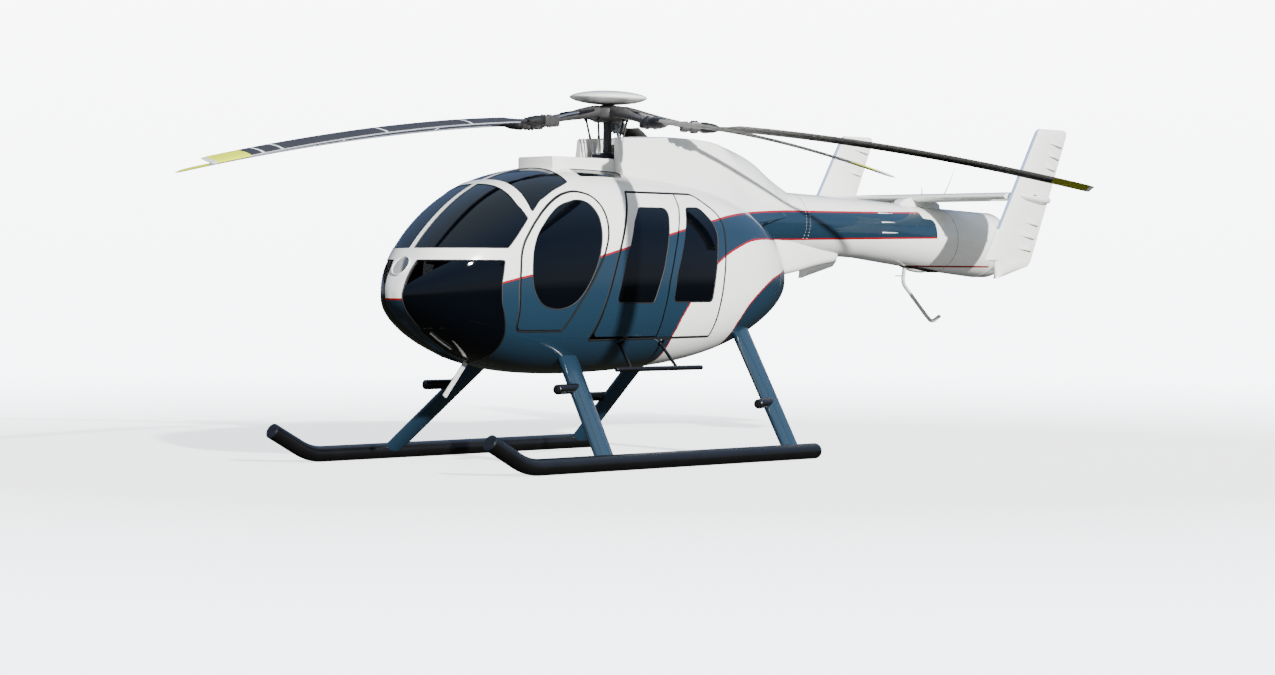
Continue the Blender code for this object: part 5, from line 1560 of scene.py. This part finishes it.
parts = [turned("mast", ((0, H - 0.405), (0.0355, H - 0.405), (0.0355, H - 0.070), (0, H - 0.07)), 40, hub_grey),
         turned("drum", ((0, H - 0.078), (0.105, H - 0.078), (0.128, H - 0.066), (0.168, H - 0.052), (0.186, H - 0.036), (0.190, H - 0.020),
                         (0.190, H + 0.018), (0.184, H + 0.032), (0.150, H + 0.046), (0.110, H + 0.053), (0.060, H + 0.058),
                         (0.060, H + 0.064), (0, H + 0.064)), 60, hub_grey)]
for k in range(5):
    arm_rings = [oval(r, H + droop(r), w, h) for r, w, h in spline(
        ((0.10, 0.070, 0.046), (0.17, 0.080, 0.0475), (0.25, 0.074, 0.044), (0.34, 0.056, 0.036), (0.46, 0.042, 0.029), (0.62, 0.037, 0.0255)), 24)]
    arm = smooth(loft("arm", arm_rings, hub_grey), 40)
    z = H + droop(0.70)
    # clamp block with flanges
    grip = loft("grip", [oval(r, z, w, h, 28, 6.0) for r, w, h in ((0.612, 0.046, 0.037), (0.618, 0.052, 0.043), (0.640, 0.055, 0.0455), (0.662, 0.055, 0.0455),
                                                                (0.668, 0.047, 0.038), (0.690, 0.047, 0.038), (0.696, 0.056, 0.046), (0.750, 0.056, 0.046),
                                                                (0.756, 0.050, 0.041), (0.775, 0.048, 0.038))], hub_grey)
    smooth(grip, 25)
    bits = [arm, grip]
    for bx in (-0.036, 0.036):
        for by in (0.709, 0.737):
            for up_ in (1, -1):
                bolt = turned("bolt", ((0, 0.0), (0.0095, 0.0), (0.0095, 0.0065), (0.0078, 0.0085), (0, 0.0085)), 6, dark_metal)
                bolt.data.transform(Matrix.Translation((bx, -by, z + up_ * 0.0445)) @ (Matrix.Identity(4) if up_ > 0 else Matrix.Rotation(math.pi, 4, "X")))
                bits.append(bolt)
    # two bolts on the drum over each arm
    for bx in (-0.032, 0.032):
        bolt = turned("bolt", ((0, 0.0), (0.014, 0.0), (0.014, 0.008), (0.011, 0.011), (0, 0.011)), 6, dark_metal)
        bolt.data.transform(Matrix.Translation((bx, -0.150, H + 0.044)))
        bits.append(bolt)
    # lag damper rod beside the arm
    bits.append(tube("damper", [(0.062, -0.235, H + 0.012), (0.066, -0.40, H - 0.012)], 0.013, 14, mat=dark_metal))
    bits.append(tube("damper_rod", [(0.066, -0.40, H - 0.012), (0.058, -0.63, H - 0.056)], 0.006, 10, mat=chrome))
    for b in bits:
        b.data.transform(turn(k))
    parts += bits
hub = join("rotor_head", parts)
smooth(hub, 32)
place_rotor(hub, None, ("rotor_hub",))

prof = [(0, H + 0.0655)]
for a in np.linspace(0.22, math.pi / 2, 16):
    prof.append((0.318 * math.sin(a), H + 0.126 - 0.0600 * math.cos(a) ** 1.15))
for a in np.linspace(math.pi / 2, 0.05, 22)[1:]:
    prof.append((0.318 * math.sin(a), H + 0.126 + 0.0575 * math.cos(a) ** 1.1))
prof.append((0, H + 0.1836))
cap = smooth(turned("rotor_cap_lens", prof, 72, white), 60)
place_rotor(cap, None, ("rotor_cap",))

links = [turned("plate", ((0.0385, H - 0.370), (0.120, H - 0.372), (0.132, H - 0.362), (0.132, H - 0.346), (0.112, H - 0.334), (0.080, H - 0.326),
                          (0.0385, H - 0.322)), 48, hub_grey)]
bpy.data.objects.remove(links.pop(), do_unlink=True)
ring_v, ring_f = [], []
sides = 56
plate_prof = ((0.0375, H - 0.372), (0.120, H - 0.372), (0.131, H - 0.364), (0.131, H - 0.348), (0.112, H - 0.336), (0.078, H - 0.328), (0.0375, H - 0.324))
for k in range(sides):
    a = 2 * math.pi * k / sides
    ring_v += [(r * math.cos(a), r * math.sin(a), z) for r, z in plate_prof]
mm = len(plate_prof)
for k in range(sides):
    j = (k + 1) % sides
    for i in range(mm):
        l_ = (i + 1) % mm
        ring_f.append((k * mm + i, j * mm + i, j * mm + l_, k * mm + l_))
links = [fix_normals(new_object("plate", ring_v, ring_f, dark_metal))]
for k in range(5):
    a0, a1 = Vector((0.02, -0.112, H - 0.340)), Vector((0.055, -0.172, H - 0.050))
    mid = a0.lerp(a1, 0.48)
    bits = [tube("link", [a0, mid], 0.0062, 14, mat=chrome), tube("link", [mid, a1], 0.0092, 14, mat=rubber),
            tube("collar", [a0.lerp(a1, 0.44), a0.lerp(a1, 0.52)], 0.0115, 6, mat=dark_metal),
            tube("ball", [a0 - Vector((0.012, 0, 0)), a0 + Vector((0.012, 0, 0))], 0.012, 14, mat=steel),
            tube("ball", [a1 - Vector((0.012, 0, 0.008)), a1 + Vector((0.012, 0, -0.008))], 0.012, 14, mat=dark_metal)]
    if k in (0, 2):
        pts = [Vector((0.125, -0.02, H - 0.345)), Vector((0.165, -0.03, H - 0.235)), Vector((0.105, -0.02, H - 0.095))]
        bits.append(tube("scissor", bent(pts, 0.03, 5), 0.0075, 10, 1.8, mat=steel))
    for b in bits:
        b.data.transform(turn(k))
    links += bits
link_ob = join("pitch_link_set", links)
smooth(link_ob, 38)
place_rotor(link_ob, None, ("pitch_links",))


# blades: dark grey above; black below, dark paint deepened by painted shade, with painted light toward the trailing
# edge underneath; narrow white chord lines on top; yellow end, olive underneath as painted shade
blade_look = Look("blade_paint")
attr = blade_look.node("Attribute", attribute_name="own")
own_xyz = blade_look.node("SeparateXYZ")
blade_look.put(own_xyz.inputs[0], attr.outputs["Vector"])
bx, by, bz = own_xyz.outputs
r_ = blade_look.math("MULTIPLY", by, -1.0)
geo = blade_look.node("NewGeometry")
ns = blade_look.node("SeparateXYZ")
blade_look.put(ns.inputs[0], geo.outputs["Normal"])
top_side = blade_look.math("GREATER_THAN", ns.outputs[2], -0.05)
grey = blade_look.vary((0.024, 0.022, 0.024, 1), 3.0, 0.4, 5.0, 0.75, (1, 1, 1))
# black underside, picked by the face normal: dark paint deepened by painted shade
underside_paint_and_shade = blade_look.vary((0.0032, 0.0034, 0.0038, 1), 3.0, 0.4, 5.0, 1.8)
# painted light: the underside grows light grey toward the trailing edge
trailing_edge_painted_light = blade_look.math("DIVIDE", blade_look.math("SUBTRACT", -0.22 * CHORD, bx), 0.50 * CHORD, clamp=True)
trailing_edge_painted_light = blade_look.math("POWER", trailing_edge_painted_light, 1.4)
underside_paint_and_shade = blade_look.mix(trailing_edge_painted_light, underside_paint_and_shade, (0.42, 0.42, 0.40, 1))
col = blade_look.mix(top_side, underside_paint_and_shade, grey)
edge = blade_look.math("GREATER_THAN", bx, 0.0365)
col = blade_look.mix(edge, col, blade_look.vary((0.30, 0.32, 0.36, 1), 12.0, 0.3, 5.0, 0.7))
stripe = None
for r0 in (1.58, 2.47, 3.51, 3.69):
    d = blade_look.math("ABSOLUTE", blade_look.math("SUBTRACT", r_, r0))
    h = blade_look.math("LESS_THAN", d, 0.011)
    stripe = h if stripe is None else blade_look.math("MAXIMUM", stripe, h)
stripe = blade_look.math("MULTIPLY", stripe, top_side)
stripe = blade_look.math("MULTIPLY", stripe, blade_look.math("SUBTRACT", 1.0, edge))
col = blade_look.mix(stripe, col, (0.62, 0.65, 0.70, 1))
yel = blade_look.math("GREATER_THAN", r_, 3.810)
yel = blade_look.math("MULTIPLY", yel, blade_look.math("LESS_THAN", r_, 4.125))
# yellow tip; its underside is olive as painted shade
yellow_tip_and_painted_shade = blade_look.mix(top_side, (0.20, 0.22, 0.003, 1), blade_look.vary((0.62, 0.70, 0.0, 1), 8.0, 0.2, 4.0, 0.85))
col = blade_look.mix(yel, col, yellow_tip_and_painted_shade)
tipm = blade_look.math("GREATER_THAN", r_, 4.125)
col = blade_look.mix(tipm, col, (0.50, 0.53, 0.56, 1))
blade_look.put(blade_look.b.inputs["Base Color"], col)
blade_look.rough(0.48, 0.10, 5.0)
blade_look.b.inputs["Specular IOR Level"].default_value = 0.25

sec = airfoil(1.0, 0.12, 22)
for k in range(5):
    rings = []
    rows_ = ((0.7755, 0.40, -0.08, 1.6), (0.86, 0.41, -0.13, 1.7), (0.95, 0.50, -0.19, 1.5), (1.02, 0.78, -0.22, 1.15), (1.08, 1.0, -0.25, 1.0), (1.7, 1.0, -0.26, 1.0),
             (2.9, 1.0, -0.26, 1.0), (4.06, 1.0, -0.26, 1.0), (4.10, 0.99, -0.26, 0.97),
             (4.135, 0.965, -0.26, 0.85), (4.155, 0.92, -0.26, 0.55), (ROTOR_R, 0.88, -0.26, 0.22))
    tab = np.array(rows_)
    rs = np.unique(np.concatenate([np.linspace(0.7755, 4.06, 46), tab[:, 0]]))
    for r in rs:
        chord, twist, th = (float(np.interp(r, tab[:, 0], tab[:, i])) for i in (1, 2, 3))
        ring = []
        for a, b in sec:
            u = (0.25 - a) * CHORD * chord
            w = b * CHORD * th * (1.0 if chord < 0.999 or r > 4 else 1.0)
            ring.append(Vector((u * math.cos(twist) - w * math.sin(twist), -r, H + droop(r) + u * math.sin(twist) + w * math.cos(twist))))
        rings.append(ring)
    blade = smooth(loft("blade_%d_skin" % (k + 1), rings, blade_look), 50)
    place_rotor(blade, k, ("blade_%d" % (k + 1),))
    # black boot and root pins
    z = H + droop(0.83)
    boot = loft("boot", [oval(r, H + droop(r), w, h, 24, 3.0) for r, w, h in ((0.7765, 0.045, 0.037), (0.790, 0.056, 0.045), (0.83, 0.057, 0.045), (0.895, 0.050, 0.036),
                                                                              (0.93, 0.050, 0.021), (0.955, 0.052, 0.012))], rubber)
    smooth(boot, 40)
    pins = []
    for px_ in (-0.018, 0.018):
        pin = turned("pin", ((0, -0.046), (0.011, -0.046), (0.013, -0.042), (0.013, 0.042), (0.011, 0.046), (0, 0.046)), 18, steel)
        pin.data.transform(Matrix.Translation((px_, -0.815, z)))
        pins.append(pin)
    root = smooth(join("blade_%d_root" % (k + 1), [boot] + pins), 40)
    place_rotor(root, k)

# ------------------------------------------------------------ stage and light
world = bpy.data.worlds.new("studio")
bpy.context.scene.world = world
world.use_nodes = True
wt = world.node_tree


def world_node(kind):
    return wt.nodes.new("ShaderNode" + kind)


def sky_ramp(height, rows):
    ramp = world_node("ValToRGB")
    wt.links.new(height, ramp.inputs[0])
    els = ramp.color_ramp.elements
    els[0].position, els[0].color = rows[0][0], rows[0][1]
    els[1].position, els[1].color = rows[-1][0], rows[-1][1]
    for pos, c in rows[1:-1]:
        els.new(pos).color = c
    return ramp.outputs[0]


tc = world_node("TexCoord")
sep = world_node("SeparateXYZ")
wt.links.new(tc.outputs["Generated"], sep.inputs[0])
mr = world_node("MapRange")
mr.inputs["From Min"].default_value = -1.0
mr.inputs["From Max"].default_value = 1.0
wt.links.new(sep.outputs[2], mr.inputs["Value"])
height = mr.outputs[0]
# even studio light, a little stronger from above
soft = sky_ramp(height, ((0.0, (0.46, 0.46, 0.45, 1)), (0.50, (0.62, 0.63, 0.64, 1)), (1.0, (0.95, 0.98, 1.0, 1))))
# the backdrop seen behind the machine
back = sky_ramp(height, ((0.40, (0.560, 0.600, 0.665, 1)), (0.50, (0.800, 0.835, 0.870, 1)), (0.56, (0.960, 0.972, 0.985, 1))))
# what glossy surfaces mirror: dark ground, low haze, blue above
mirror = sky_ramp(height, ((0.0, (0.030, 0.032, 0.026, 1)), (0.470, (0.036, 0.038, 0.028, 1)), (0.4965, (0.050, 0.054, 0.050, 1)),
                           (0.506, (0.30, 0.33, 0.38, 1)), (0.55, (0.26, 0.34, 0.50, 1)), (0.66, (0.17, 0.27, 0.50, 1)),
                           (0.85, (0.42, 0.58, 0.90, 1)), (1.0, (0.70, 0.85, 1.0, 1))))
lp = world_node("LightPath")
shades = []
for colour, power in ((soft, SOFT), (back, BACK), (mirror, MIRROR)):
    b_ = world_node("Background")
    wt.links.new(colour, b_.inputs[0])
    b_.inputs[1].default_value = power
    shades.append(b_.outputs[0])
mix_a, mix_b = world_node("MixShader"), world_node("MixShader")
wt.links.new(lp.outputs["Is Camera Ray"], mix_a.inputs[0])
wt.links.new(shades[0], mix_a.inputs[1])
wt.links.new(shades[1], mix_a.inputs[2])
wt.links.new(lp.outputs["Is Glossy Ray"], mix_b.inputs[0])
wt.links.new(mix_a.outputs[0], mix_b.inputs[1])
wt.links.new(shades[2], mix_b.inputs[2])
wt.links.new(mix_b.outputs[0], wt.nodes["World Output"].inputs[0])

# pale floor that fades into the backdrop
floor_look = Look("floor_pale", Roughness=1.0)
floor_look.b.inputs["Specular IOR Level"].default_value = 0.0
fx, fy, fz = floor_look.xyz()
dist = floor_look.math("SQRT", floor_look.math("ADD", floor_look.math("POWER", fx, 2.0), floor_look.math("POWER", fy, 2.0)))
fade = floor_look.math("DIVIDE", floor_look.math("SUBTRACT", 26.0, dist), 20.0, clamp=True)
fade = floor_look.math("MULTIPLY", fade, fade)
floor_look.put(floor_look.b.inputs["Alpha"], fade)
floor_look.put(floor_look.b.inputs["Emission Color"], FLOOR)
floor_look.b.inputs["Emission Strength"].default_value = 2.1
floor_look.put(floor_look.b.inputs["Base Color"], floor_look.vary(FLOOR, 0.15, 0.06, 3.0, 0.985))
v, fcs = [(0, 0, 0)], []
radii_ = (4.0, 9.0, 16.0, 26.0)
for r in radii_:
    v += [(r * math.cos(2 * math.pi * k / 64), r * math.sin(2 * math.pi * k / 64), 0) for k in range(64)]
for k in range(64):
    j = (k + 1) % 64
    fcs.append((0, 1 + k, 1 + j))
    for r in range(len(radii_) - 1):
        fcs.append((1 + r * 64 + k, 1 + (r + 1) * 64 + k, 1 + (r + 1) * 64 + j, 1 + r * 64 + j))
ground = new_object("floor", v, fcs, floor_look)
ground.visible_glossy = False
ground.visible_diffuse = False

sun_data = bpy.data.lights.new("key", "SUN")
sun_data.energy = SUN
sun_data.angle = math.radians(1.6)
sun_data.color = (1.0, 0.985, 0.955)
sun = bpy.data.objects.new("key", sun_data)
bpy.context.scene.collection.objects.link(sun)
sun.rotation_euler = (-Vector((2.41, -0.60, 1.0))).to_track_quat("-Z", "Y").to_euler()
